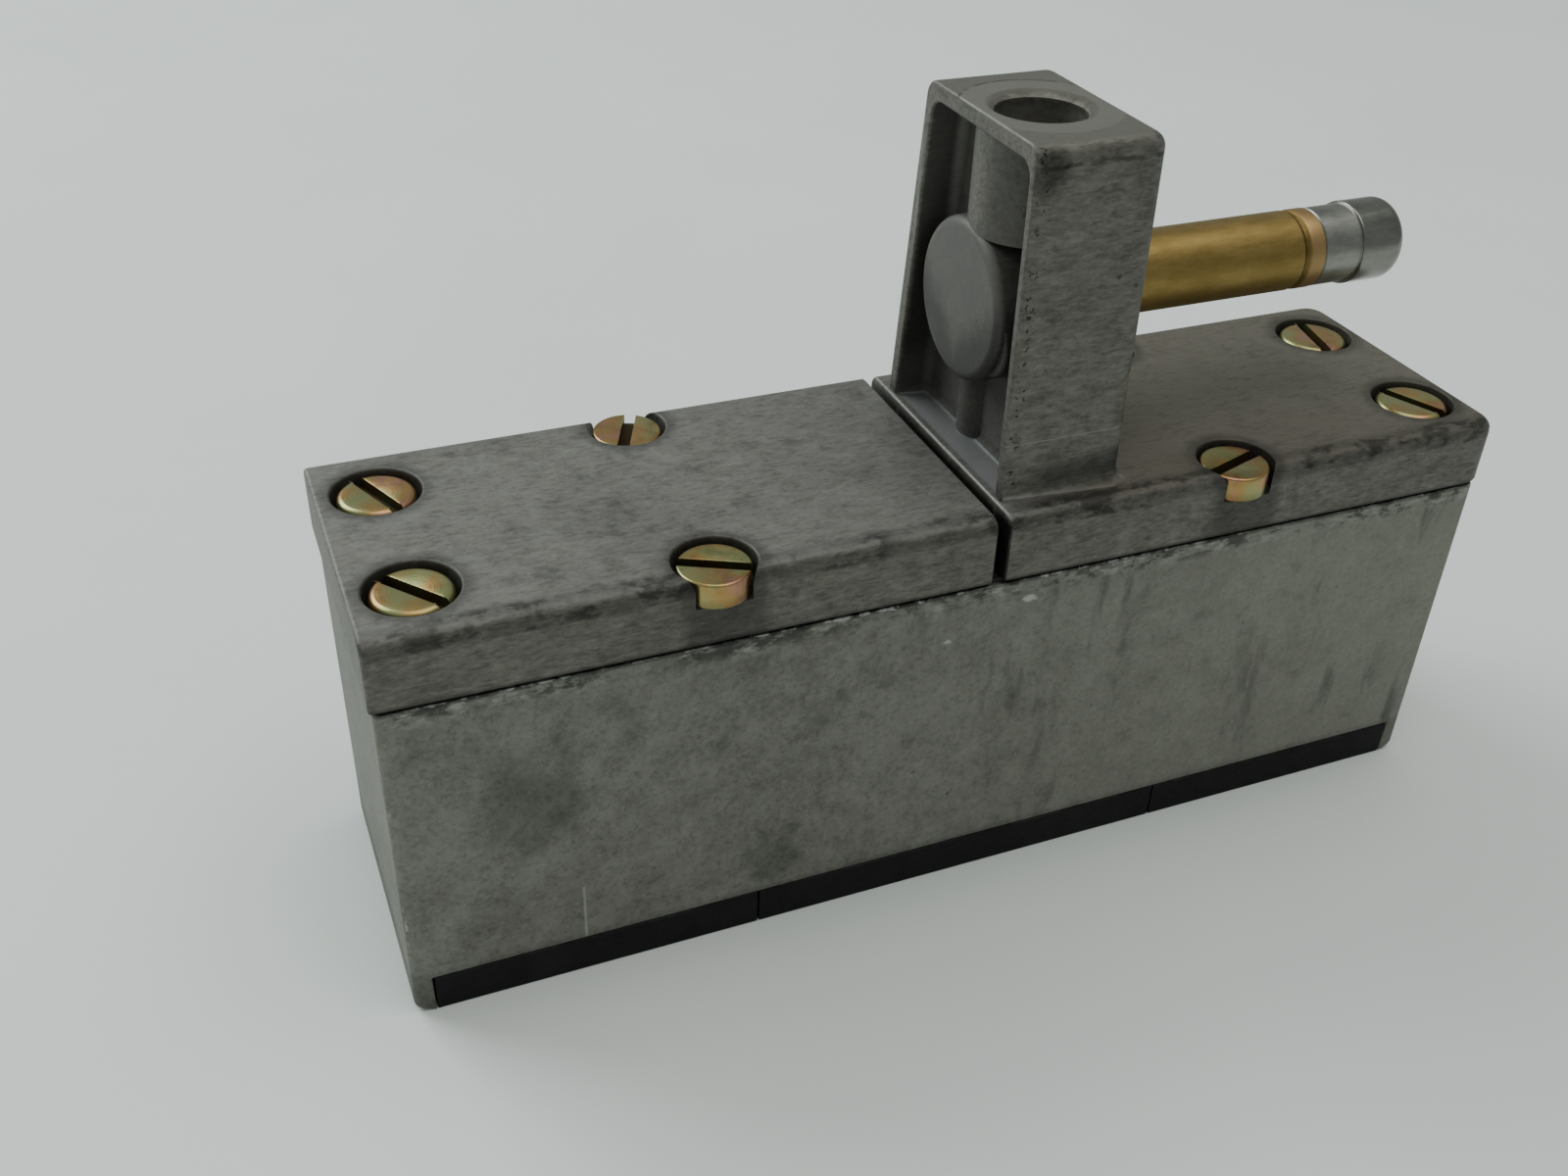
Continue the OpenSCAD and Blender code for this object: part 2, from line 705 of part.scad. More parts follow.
module pole_piece() {
    crimp_x = tube_end_x - crimp_in;
    inside_r = tube_bore_r - touch;
    head_r = tube_r + tip_swell;
    color(steel)
        translate([0, 0, tube_z])
            difference() {
                union() {
                    rotate([0, 90, 0])
                        rotate_extrude()
                            polygon([[0, pole_x], [inside_r, pole_x],
                                [inside_r, crimp_x - 2 * crimp_d],
                                [inside_r - crimp_d, crimp_x - 1.1 * crimp_d],
                                [inside_r - crimp_d, crimp_x + 1.1 * crimp_d],
                                [inside_r, crimp_x + 2 * crimp_d],
                                [inside_r, tube_end_x + touch], [tube_r, tube_end_x + touch],
                                [tube_r, tip_head_x], [0, tip_head_x]]);
                    rotate([0, 90, 0])
                        rotate_extrude()
                            polygon(concat([[0, tip_x], [0, tip_head_x - eps]],
                                arc(head_r - tip_swell, tip_head_x - eps + tip_swell, tip_swell,
                                    270, 360),
                                arc(head_r - tip_round_r, tip_x - tip_round_r, tip_round_r, 0, 90)));
                }
                x_rod(spring_bore_r, pole_x - 1, pole_x + pole_bore_d);
                difference() {
                    x_rod(ring_r + ring_w, pole_x - 1, pole_x + ring_d);
                    x_rod(ring_r, pole_x - 2, pole_x + ring_d + 1);
                }
            }
}

module shading_ring() {
    color("peru")
        translate([0, 0, tube_z])
            difference() {
                x_rod(ring_r + ring_w - 0.02, pole_x, pole_x + ring_d);
                x_rod(ring_r + 0.02, pole_x - 1, pole_x + ring_d + 1);
            }
}

module armature() {
    color(steel)
        translate([0, 0, tube_z])
            difference() {
                x_rod(armature_r, armature_x, armature_x + armature_l);
                x_rod(spring_bore_r, armature_x + armature_l - spring_bore_d,
                    armature_x + armature_l + 1);
                x_rod(seal_r, armature_x - 1, armature_x + seal_l);
                for (side = [-1, 1])
                    translate([armature_x + seal_l + 1, -0.6, side * armature_r - 0.5])
                        cube([armature_l, 1.2, 1]);
            }
}

module armature_seal() {
    color(black_rubber)
        translate([0, 0, tube_z])
            x_rod(seal_r, armature_x - seal_proud, armature_x + seal_l);
}

module armature_spring() {
    start_x = armature_x + armature_l - spring_bore_d;
    color(steel)
        translate([start_x + touch, 0, tube_z])
            rotate([0, 90, 0])
                coil_spring(spring_bore_r - 0.35, 0.2, pole_x + pole_bore_d - start_x - 2 * touch, 8);
}

module pilot_nozzle() {
    color(brass)
        translate([0, 0, tube_z])
            difference() {
                union() {
                    x_rod(nozzle_r, nozzle_x, nozzle_x + nozzle_l);
                    x_rod(nozzle_tip_r, nozzle_x, seat_x);
                }
                x_rod(nozzle_bore_r, nozzle_x - 1, seat_x + 1);
            }
}

// ---------- valve stacks: the same pieces on the left (-1) and on the right (1) ----------

module piston(side) {
    groove_r = piston_r - 2.2;
    color(alloy)
        translate([side * stack_x, 0, z_piston])
            difference() {
                cylinder(r = piston_r - run_clear, h = piston_t);
                translate([0, 0, -1])
                    cylinder(r = stem_r, h = piston_t);
                translate([0, 0, piston_t / 2])
                    rotate_extrude()
                        translate([groove_r, -1.1])
                            square([3, 2.2]);
            }
}

module piston_seal(side) {
    color(black_rubber)
        translate([side * stack_x, 0, z_piston + piston_t / 2])
            o_ring(piston_r - 2.0 - touch, 1.0);
}

module valve_stem(side) {
    color(steel)
        translate([side * stack_x, 0, z_poppet - stem_nut_h]) {
            cylinder(r = stem_r, h = z_piston + piston_t - 1 - z_poppet + stem_nut_h);
            cylinder(r = stem_nut_r, h = stem_nut_h);
        }
}

module poppet(side) {
    color(dark_grey)
        translate([side * stack_x, 0, z_poppet])
            difference() {
                cylinder(r = poppet_r, h = poppet_t);
                translate([0, 0, -1])
                    cylinder(r = stem_r, h = poppet_t + 2);
            }
}

module return_spring(side) {
    color(steel)
        translate([side * stack_x, 0, z_floor + touch])
            coil_spring(spring_r, spring_wire_r, z_poppet - z_floor - 2 * touch, 5);
}

module seat_ring() {
    difference() {
        cylinder(r = stack_r, h = seat_t);
        translate([0, 0, -1])
            cylinder(r = seat_bore_r, h = seat_t + 2);
    }
}

module seat_lip() {
    difference() {
        cylinder(r = seat_bore_r + 0.6, h = lip_h + eps);
        translate([0, 0, -1])
            cylinder(r = seat_bore_r, h = lip_h + 2);
    }
}

module seat_rings(side) {
    color(brass)
        translate([side * stack_x, 0, 0]) {
            translate([0, 0, z_low_seat])
                seat_ring();
            translate([0, 0, z_mid - eps])
                seat_lip();
            translate([0, 0, z_high_seat])
                seat_ring();
            translate([0, 0, z_high_seat - lip_h])
                seat_lip();
        }
}

// sleeve that keeps two pieces of the stack apart, with windows on all four sides
module spacer_sleeve(z, h) {
    translate([0, 0, z])
        difference() {
            cylinder(r = stack_r, h = h);
            translate([0, 0, -1])
                cylinder(r = stack_r - sleeve_wall, h = h + 2);
            for (angle = [0, 90])
                rotate([0, 0, angle])
                    translate([0, 0, h / 2])
                        cube([3 * stack_r, 2 * stack_r * sin(35), h - 1.6], center = true);
        }
}

module spacer_sleeves(side) {
    color(brass)
        translate([side * stack_x, 0, 0]) {
            spacer_sleeve(z_mid, mid_h);
            spacer_sleeve(z_high, high_chamber_h);
        }
}

module stem_guide(side) {
    color(brass)
        translate([side * stack_x, 0, z_guide])
            difference() {
                cylinder(r = stack_r, h = guide_h);
                translate([0, 0, -1])
                    cylinder(r = stem_r + run_clear, h = guide_h + 2);
                translate([0, 0, guide_h / 2 - 0.7])
                    cylinder(r = stem_r + 1.2, h = 1.4);
            }
}

module stem_seal(side) {
    color(black_rubber)
        translate([side * stack_x, 0, z_guide + guide_h / 2])
            o_ring(stem_r + touch, 0.55);
}

module left_piston() { piston(-1); }
module left_piston_seal() { piston_seal(-1); }
module left_valve_stem() { valve_stem(-1); }
module left_poppet() { poppet(-1); }
module left_return_spring() { return_spring(-1); }
module left_seat_rings() { seat_rings(-1); }
module left_spacer_sleeves() { spacer_sleeves(-1); }
module left_stem_guide() { stem_guide(-1); }
module left_stem_seal() { stem_seal(-1); }
module right_piston() { piston(1); }
module right_piston_seal() { piston_seal(1); }
module right_valve_stem() { valve_stem(1); }
module right_poppet() { poppet(1); }
module right_return_spring() { return_spring(1); }
module right_seat_rings() { seat_rings(1); }
module right_spacer_sleeves() { spacer_sleeves(1); }
module right_stem_guide() { stem_guide(1); }
module right_stem_seal() { stem_seal(1); }

valve_body();
cover_gasket();
blank_cover();
pilot_cover();
end_screws();
side_screws();
left_base_pad();
centre_base_pad();
right_base_pad();
guide_tube();
tube_o_ring();
pole_piece();
shading_ring();
armature();
armature_seal();
armature_spring();
pilot_nozzle();
left_piston();
left_piston_seal();
left_valve_stem();
left_poppet();
left_return_spring();
left_seat_rings();
left_spacer_sleeves();
left_stem_guide();
left_stem_seal();
right_piston();
right_piston_seal();
right_valve_stem();
right_poppet();
right_return_spring();
right_seat_rings();
right_spacer_sleeves();
right_stem_guide();
right_stem_seal();
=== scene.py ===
# %% [markdown]
# # A pilot valve with its coil taken off
# The object is a pneumatic valve: a die-cast body on black base pads, two covers held by slotted screws,
# and a tower that carries a brass tube with a steel end. The CAD frame already holds every piece at its
# place and size. Blender now gives the pieces that are seen their worn, rounded, cast and turned look.

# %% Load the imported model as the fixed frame
import json
import math

import bmesh
import bpy
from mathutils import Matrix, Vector


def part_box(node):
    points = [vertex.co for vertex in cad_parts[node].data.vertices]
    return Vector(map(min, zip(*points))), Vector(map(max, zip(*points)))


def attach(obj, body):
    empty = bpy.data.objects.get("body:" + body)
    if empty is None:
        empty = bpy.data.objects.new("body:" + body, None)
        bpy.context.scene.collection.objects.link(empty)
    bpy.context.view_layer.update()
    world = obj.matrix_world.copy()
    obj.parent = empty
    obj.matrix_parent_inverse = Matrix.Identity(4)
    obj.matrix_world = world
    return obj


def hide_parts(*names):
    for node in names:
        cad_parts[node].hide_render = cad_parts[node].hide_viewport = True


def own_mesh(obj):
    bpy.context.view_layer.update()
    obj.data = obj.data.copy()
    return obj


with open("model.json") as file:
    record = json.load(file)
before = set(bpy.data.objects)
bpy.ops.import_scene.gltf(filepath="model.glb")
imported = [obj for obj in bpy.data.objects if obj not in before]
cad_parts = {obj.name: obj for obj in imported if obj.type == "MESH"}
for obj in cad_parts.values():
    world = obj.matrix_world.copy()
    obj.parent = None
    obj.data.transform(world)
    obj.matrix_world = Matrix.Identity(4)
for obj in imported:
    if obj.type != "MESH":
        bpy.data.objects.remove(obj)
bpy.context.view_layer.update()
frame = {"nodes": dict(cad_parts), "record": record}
mm = 0.001

# %% [markdown]
# ## The camera
# A camera is its place, the way it is turned and its lens. It stands in front of the left end of the
# valve and above it, so that the front, the covers and the recess of the tower are all seen.

# %% Place the camera
camera_place = Vector((-68.95, -125.28, 123.54)) * mm
camera_turn = [math.radians(angle) for angle in (55.63, -1.68, -21.96)]
bpy.ops.object.camera_add(location=camera_place, rotation=camera_turn)
camera = bpy.context.active_object
camera.name = "camera"
camera.data.lens = 36.56
camera.data.clip_start = 5 * mm
bpy.context.scene.camera = camera
print("camera: lens", camera.data.lens, "mm")

# %% [markdown]
# ## Soft room light
# Bare metal shows whatever is around it, so the light is what makes it look real. A grey world fills the
# shadows. One large soft lamp stands behind and to the left, and a weaker one hangs above the front.

# %% Make the world and the lamps
world = bpy.data.worlds.new("room")
world.use_nodes = True
world.node_tree.nodes["Background"].inputs["Color"].default_value = (0.80, 0.87, 0.84, 1)
world.node_tree.nodes["Background"].inputs["Strength"].default_value = 0.42
bpy.context.scene.world = world


def add_lamp(name, place, target, size, power, colour):
    """A square area lamp at a place, turned towards a target."""
    place = Vector(place)
    turn = (Vector(target) - place).to_track_quat("-Z", "Y").to_euler()
    bpy.ops.object.light_add(type="AREA", location=place, rotation=turn)
    lamp = bpy.context.active_object
    lamp.name = name
    lamp.data.size = size
    lamp.data.energy = power
    lamp.data.color = colour


add_lamp("window", (-0.55, 0.75, 0.75), (0, 0, 0.03), 0.7, 9.0, (0.93, 1.0, 0.97))
add_lamp("ceiling", (0.15, -0.10, 1.1), (0, 0, 0.03), 0.9, 6.0, (1.0, 0.99, 0.95))
print("lamps: window and ceiling")

# %% [markdown]
# ## Helpers for modelling
# Every cast piece here starts as a block, gets its outline from edges that are rounded in edit mode, and
# gets its pockets and bores from round tools that are cut away. These steps repeat, so each has one small
# helper.

# %% Blocks, rods and picking edges
def add_block(name, low, high):
    """A block between two corners, with its place in its mesh."""
    low, high = Vector(low), Vector(high)
    bpy.ops.object.select_all(action="DESELECT")
    bpy.ops.mesh.primitive_cube_add(size=1, location=(low + high) / 2)
    piece = bpy.context.active_object
    piece.name = name
    piece.scale = high - low
    bpy.ops.object.transform_apply(location=True, rotation=True, scale=True)
    return piece


def add_rod(name, radius, start, end, sides=64):
    """A round rod from one point to another, with its place in its mesh."""
    start, end = Vector(start), Vector(end)
    turn = (end - start).to_track_quat("Z", "Y").to_euler()
    bpy.ops.object.select_all(action="DESELECT")
    bpy.ops.mesh.primitive_cylinder_add(vertices=sides, radius=radius, depth=(end - start).length,
                                        location=(start + end) / 2, rotation=turn)
    piece = bpy.context.active_object
    piece.name = name
    bpy.ops.object.transform_apply(location=True, rotation=True, scale=True)
    return piece


def start_edit(piece, kind):
    """Opens a piece in edit mode with nothing selected. The kind is VERT, EDGE or FACE."""
    bpy.ops.object.select_all(action="DESELECT")
    bpy.context.view_layer.objects.active = piece
    piece.select_set(True)
    bpy.ops.object.mode_set(mode="EDIT")
    bpy.ops.mesh.select_mode(type=kind)
    bpy.ops.mesh.select_all(action="DESELECT")
    return bmesh.from_edit_mesh(piece.data)


def end_edit():
    bpy.ops.object.mode_set(mode="OBJECT")


def round_edges(piece, radius, wanted, segments=5):
    """Rounds the edges for which wanted(edge) is true."""
    mesh = start_edit(piece, "EDGE")
    picked = [edge for edge in mesh.edges if wanted(edge)]
    for edge in picked:
        edge.select_set(True)
    bmesh.update_edit_mesh(piece.data)
    bpy.ops.mesh.bevel(offset=radius, segments=segments, affect="EDGES", clamp_overlap=False)
    end_edit()
    print(f"{piece.name}: {len(picked)} edges rounded to {radius / mm:.2f} mm")


hair = 0.01 * mm


def ends_at(edge, axis, value):
    """True if both ends of an edge lie at one value of an axis."""
    return all(abs(corner.co[axis] - value) < hair for corner in edge.verts)


def span(edge, axis):
    """How far an edge goes along an axis."""
    return abs(edge.verts[0].co[axis] - edge.verts[1].co[axis])


# %% [markdown]
# Cutting and joining are Boolean modifiers that are applied at once, and the soft arris that every cast
# or turned edge has is a Bevel modifier. A finished piece then says which body it rides on and which CAD
# pieces it stands for. Cutting tools start a little outside the face that they cut.

# %% Cutting, joining and finishing
past = 1 * mm


def combine(piece, tool, operation):
    """Cuts a tool away from a piece (DIFFERENCE) or joins it on (UNION), and removes the tool."""
    bpy.ops.object.select_all(action="DESELECT")
    bpy.context.view_layer.objects.active = piece
    piece.select_set(True)
    step = piece.modifiers.new("combine", "BOOLEAN")
    step.object = tool
    step.operation = operation
    step.solver = "MANIFOLD"
    bpy.ops.object.modifier_apply(modifier=step.name)
    bpy.data.objects.remove(tool)


def drill(piece, radius, start, end, sides=64):
    combine(piece, add_rod("drill", radius, start, end, sides), "DIFFERENCE")


def soften(piece, width, segments=3, angle=38):
    """Takes the sharpness off every edge that is steeper than the angle."""
    bpy.context.view_layer.objects.active = piece
    step = piece.modifiers.new("soften", "BEVEL")
    step.width = width
    step.segments = segments
    step.limit_method = "ANGLE"
    step.angle_limit = math.radians(angle)
    step.use_clamp_overlap = False
    bpy.ops.object.modifier_apply(modifier=step.name)


def smooth(piece, angle=40):
    """Smooth shading that keeps the large flats flat."""
    bpy.ops.object.select_all(action="DESELECT")
    bpy.context.view_layer.objects.active = piece
    piece.select_set(True)
    bpy.ops.object.shade_smooth_by_angle(angle=math.radians(angle))
    step = piece.modifiers.new("flats", "WEIGHTED_NORMAL")
    step.keep_sharp = True
    bpy.ops.object.modifier_apply(modifier=step.name)


def hand_over(piece, body, slot, *nodes):
    """Puts a finished piece on its body, in place of its CAD nodes."""
    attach(piece, body)
    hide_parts(*nodes)
    print(f"{piece.name}: {len(piece.data.polygons)} faces, stands for {', '.join(nodes)}")


# %% [markdown]
# ## The valve body
# The body is one casting that is open at the top, where the covers close it, and drilled from below. A
# block is enough for its outside: the two feet are strips of its lower face that are extruded down past
# the pads. The piston chambers, galleries and threads are then drilled as they are in the real casting,
# so that the pistons inside have somewhere to move.

# %% Sizes that the body and the covers share
body_low, body_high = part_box("valve_body")
pad_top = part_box("centre_base_pad")[1].z
cover_low, cover_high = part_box("pilot_cover")
blank_low, blank_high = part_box("blank_cover")
cover_z = blank_low.z
cover_top = blank_high.z
half_w = blank_high.y
foot_l = 2.0 * mm
end_head_r = 3.75 * mm
side_head_r = 3.5 * mm
thread_r = 2.0 * mm
screw_low, screw_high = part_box("end_screws")
side_low, side_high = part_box("side_screws")
end_screw_x = screw_high.x - end_head_r
end_screw_y = screw_high.y - end_head_r
side_screw_x = side_high.x - side_head_r
side_screw_y = side_high.y - side_head_r
end_places = [(x, y) for x in (-end_screw_x, end_screw_x) for y in (-end_screw_y, end_screw_y)]
side_places = [(x, y) for x in (-side_screw_x, side_screw_x) for y in (-side_screw_y, side_screw_y)]
print(f"end screws at ({end_screw_x / mm:.2f}, {end_screw_y / mm:.2f}) mm")

# %% Block out the body and extrude its feet
body = add_block("body", (body_low.x, body_low.y, pad_top), body_high)
foot_edges_x = (body_low.x + foot_l, body_high.x - foot_l)
for x in foot_edges_x:
    mesh = start_edit(body, "FACE")
    for face in mesh.faces:
        face.select_set(face.normal.z < -0.9)
    bmesh.update_edit_mesh(body.data)
    bpy.ops.mesh.bisect(plane_co=(x, 0, 0), plane_no=(1, 0, 0))
    end_edit()
mesh = start_edit(body, "FACE")
for face in mesh.faces:
    middle = face.calc_center_median()
    outside = middle.x < foot_edges_x[0] or middle.x > foot_edges_x[1]
    face.select_set(face.normal.z < -0.9 and outside)
bmesh.update_edit_mesh(body.data)
bpy.ops.mesh.extrude_region_move(TRANSFORM_OT_translate={"value": (0, 0, -pad_top)})
end_edit()
print(f"{body.name}: feet extruded down {pad_top / mm:.1f} mm")

# %% Round the feet and the upright corners
foot_r = 1.2 * mm
corner_r = 0.8 * mm
round_edges(body, foot_r, lambda edge: ends_at(edge, 2, 0)
            and (ends_at(edge, 0, body_low.x) or ends_at(edge, 0, body_high.x)))


def on_upright_corner(edge):
    """True for the outline of the body's front and back faces, near its two ends."""
    side = ends_at(edge, 1, body_low.y) or ends_at(edge, 1, body_high.y)
    left = all(corner.co.x < body_low.x + foot_r + hair for corner in edge.verts)
    right = all(corner.co.x > body_high.x - foot_r - hair for corner in edge.verts)
    return side and (left or right)


round_edges(body, corner_r, on_upright_corner)
soften(body, 0.22 * mm, 2)

# %% [markdown]
# The bores come from the frame too: each CAD piece inside the body says where its bore is and how wide.
# The chambers are cut a little wider than the pistons that run in them.

# %% Drill the chambers, galleries and threads
run = 0.05 * mm
port_r = 3.0 * mm
gallery_r = 2.0 * mm
mount_hole_r = 1.65 * mm
mount_hole_d = 8 * mm
mount_inset = 8 * mm
mount_y = 10.5 * mm
port_y = 5.4 * mm
work_port_x = 16 * mm
exhaust_port_x = 28.5 * mm
signal_w = 3 * mm
signal_d = 1.6 * mm
high_gallery_drop = 3.9 * mm
low_gallery_rise = 2.3 * mm
gallery_reach = 2 * mm
thread_spare = 2 * mm
below, above = pad_top - past, body_high.z + past
high_gallery_z = sum(corner.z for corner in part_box("left_stem_guide")) / 2 - high_gallery_drop
low_gallery_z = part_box("left_return_spring")[0].z + low_gallery_rise
mid_gallery_z = sum(corner.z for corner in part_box("left_poppet")) / 2
port_places = [(0, -port_y), (-work_port_x, port_y), (work_port_x, port_y),
               (-exhaust_port_x, 0), (exhaust_port_x, 0)]
port_tops = (high_gallery_z, mid_gallery_z, mid_gallery_z, high_gallery_z, low_gallery_z)
mount_places = [(x, y) for x in (body_low.x + mount_inset, body_high.x - mount_inset)
                for y in (-mount_y, mount_y)]
for side in ("left", "right"):
    piston_low, piston_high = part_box(side + "_piston")
    seat_low, seat_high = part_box(side + "_seat_rings")
    guide_low, guide_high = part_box(side + "_stem_guide")
    axis_x = (piston_low.x + piston_high.x) / 2
    floor_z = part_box(side + "_return_spring")[0].z - run
    drill(body, seat_high.y, (axis_x, 0, floor_z), (axis_x, 0, above))
    drill(body, piston_high.y + run, (axis_x, 0, guide_high.z), (axis_x, 0, above))
stack_x = abs(axis_x)
gallery_end = stack_x - seat_high.y + gallery_reach
for (x, y), top in zip(port_places, port_tops):
    drill(body, port_r, (x, y, below), (x, y, top))
for y, z, x0, x1 in ((-port_y, high_gallery_z, 0, gallery_end), (-port_y, low_gallery_z, -gallery_end, 0),
                     (port_y, mid_gallery_z, -gallery_end, -work_port_x),
                     (port_y, mid_gallery_z, work_port_x, gallery_end),
                     (0, low_gallery_z, exhaust_port_x, gallery_end),
                     (0, high_gallery_z, -gallery_end, -exhaust_port_x)):
    drill(body, gallery_r, (x0, y, z), (x1, y, z), 32)
for x, y in end_places + side_places:
    drill(body, thread_r + run, (x, y, screw_low.z - thread_spare), (x, y, above), 32)
for x, y in mount_places:
    drill(body, mount_hole_r, (x, y, below), (x, y, pad_top + mount_hole_d), 32)
signal_groove = add_block("groove", (-stack_x, -signal_w / 2, body_high.z - signal_d),
                          (stack_x, signal_w / 2, above))
combine(body, signal_groove, "DIFFERENCE")
smooth(body)
hand_over(body, "valve", "body_casting", "valve_body")

# %% [markdown]
# ## Turned pieces
# Screws, the tube and its steel end are turned on a lathe, and the spin tool is Blender's lathe. One
# corner is extruded along the profile, a line of points given as (place along the axis, radius), and the
# line is then spun a full turn.

# %% A lathe made of extrude and spin
def corner_arc(along, radius, round_r, start, end, steps=5):
    """Points of a rounded corner in a profile, about a centre, with angles in degrees from the axis."""
    angles = [math.radians(start + (end - start) * i / steps) for i in range(steps + 1)]
    return [(along + round_r * math.cos(a), radius + round_r * math.sin(a)) for a in angles]


def turn_piece(name, profile, origin, axis, closed=False, steps=96):
    """Spins a profile round an axis through the origin. Axis is X or Z. A closed profile makes a tube."""
    origin = Vector(origin)
    along, out = Vector((1, 0, 0)), Vector((0, 0, 1))
    if axis == "Z":
        along, out = out, along
    places = [origin + along * place + out * radius for place, radius in profile]
    bpy.ops.object.select_all(action="DESELECT")
    bpy.ops.mesh.primitive_plane_add(size=1 * mm, location=places[0])
    piece = bpy.context.active_object
    piece.name = name
    bpy.ops.object.transform_apply(location=True, rotation=True, scale=True)
    start_edit(piece, "VERT")
    bpy.ops.mesh.select_all(action="SELECT")
    bpy.ops.mesh.merge(type="CENTER")
    for here, there in zip(places, places[1:]):
        bpy.ops.mesh.extrude_vertices_move(TRANSFORM_OT_translate={"value": there - here})
    bpy.ops.mesh.select_all(action="SELECT")
    if closed:
        mesh = bmesh.from_edit_mesh(piece.data)
        ends = [corner for corner in mesh.verts if len(corner.link_edges) == 1]
        mesh.edges.new(ends)
        bmesh.update_edit_mesh(piece.data)
        bpy.ops.mesh.select_all(action="SELECT")
    bpy.ops.mesh.spin(steps=steps, angle=2 * math.pi, center=origin, axis=along)
    bpy.ops.mesh.select_all(action="SELECT")
    bpy.ops.mesh.remove_doubles(threshold=0.002 * mm)
    bpy.ops.mesh.normals_make_consistent(inside=False)
    end_edit()
    return piece

# %% [markdown]
# ## The blank cover
# The cover is a thick plate. Its outer corners are rounded first, then the rim of its top, so that the
# second rounding runs round the first. The screw pockets are cut last. The two at the sides break through
# the edge, which leaves the open notches that show the sides of the screw heads.

# %% Make a plate and cut its screw pockets
edge_r = 1.3 * mm
cut_end_r = 0.4 * mm
mouth_r = 0.25 * mm
end_pocket_r = end_head_r + 0.55 * mm
side_pocket_r = side_head_r + 0.45 * mm
screw_hole_r = thread_r + 0.2 * mm
head_h = 2.6 * mm
arris_w = 0.3 * mm
end_seat_z = screw_high.z - head_h
side_seat_z = side_high.z - head_h


def add_plate(name, low, high, outer_x, wide_r):
    """A cover plate with a rounded rim. With its wide_r at zero, its outer end is a plain cut."""
    plate = add_block(name, low, (high.x, high.y, cover_top))
    inner_x = low.x if outer_x == high.x else high.x
    if wide_r:
        round_edges(plate, wide_r, lambda edge: ends_at(edge, 0, outer_x) and span(edge, 2) > 1 * mm)
    round_edges(plate, edge_r, lambda edge: ends_at(edge, 2, cover_top) and not ends_at(edge, 0, inner_x)
                and (wide_r or not ends_at(edge, 0, outer_x)))
    if not wide_r:
        round_edges(plate, cut_end_r, lambda edge: ends_at(edge, 0, outer_x)
                    and not ends_at(edge, 2, cover_z))
    return plate


def cut_pockets(plate, low_x, high_x):
    """Cuts the pockets of the heads between two places along X. The cutter rounds their mouths."""
    out_z = cover_top + 2 * mm
    for places, pocket_r, seat_z in ((end_places, end_pocket_r, end_seat_z),
                                     (side_places, side_pocket_r, side_seat_z)):
        profile = [(seat_z, 0), (seat_z, pocket_r)]
        profile += corner_arc(cover_top - mouth_r, pocket_r + mouth_r, mouth_r, -90, 0)
        profile += [(out_z, pocket_r + mouth_r), (out_z, 0)]
        for x, y in places:
            if low_x < x < high_x:
                combine(plate, turn_piece("pocket", profile, (x, y, 0), "Z"), "DIFFERENCE")


def drill_screw_holes(plate, low_x, high_x):
    for x, y in end_places + side_places:
        if low_x < x < high_x:
            drill(plate, screw_hole_r, (x, y, cover_z - past), (x, y, cover_top), 32)


blank_cover = add_plate("blank_cover_plate", blank_low, blank_high, blank_low.x, 0)
soften(blank_cover, arris_w)
cut_pockets(blank_cover, blank_low.x, blank_high.x)
drill_screw_holes(blank_cover, blank_low.x, blank_high.x)
smooth(blank_cover)
hand_over(blank_cover, "valve", "cover_casting", "blank_cover")

# %% [markdown]
# ## The pilot cover and its tower
# The second cover is the same plate with a tower cast on. The tower leans in a little, as castings do so
# that they leave the mould, which is an edit of its top corners. A recess is cut into its left face.
# Where the tower meets the plate the casting has a fillet: the inner corner is picked and rounded like
# any edge. The screw pockets are cut after that, so that the fillet doesn't have to find its way round
# them.

# %% Sizes of the tower
tube_low, tube_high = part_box("guide_tube")
tube_axis_z = (tube_low.z + tube_high.z) / 2
tower_left = cover_low.x + 0.35 * mm
tower_right = cover_low.x + 13.8 * mm
tower_top = cover_high.z
front_foot, front_top = 12.9 * mm, 12.15 * mm
back_foot, back_top = 12.85 * mm, 8.8 * mm
recess_x = cover_low.x + 4.2 * mm
disc_x = cover_low.x + 0.5 * mm
wall_front, wall_back, wall_top = 1.1 * mm, 1.5 * mm, 1.7 * mm
port_x, port_y_axis = cover_low.x + 6.4 * mm, -2.0 * mm
pilot_port_r, pilot_port_d = 4.28 * mm, 10 * mm
port_wall = 1.4 * mm
seam_z = cover_top + 5.8 * mm
seam_step = 0.07 * mm
tower_r = 1.5 * mm
recess_corner_r, recess_floor_r = 1.5 * mm, 1.1 * mm
front_slope = (front_foot - front_top) / (tower_top - cover_top)
back_slope = (back_foot - back_top) / (tower_top - cover_top)
print(f"tower: {(tower_top - cover_top) / mm:.1f} mm above the plate")


def lean_in(piece, low_z, front_in, back_in):
    """Moves the upper corners of a block inwards, in proportion to their height."""
    height = tower_top - cover_top
    start_edit(piece, "VERT")
    for sign, inwards in ((-1, front_in), (1, -back_in)):
        mesh = bmesh.from_edit_mesh(piece.data)
        for corner in mesh.verts:
            corner.select_set(corner.co.z > low_z and corner.co.y * sign > 0)
        bmesh.update_edit_mesh(piece.data)
        share = (max(corner.co.z for corner in mesh.verts) - cover_top) / height
        bpy.ops.transform.translate(value=(0, inwards * share, 0))
        bpy.ops.mesh.select_all(action="DESELECT")
    end_edit()


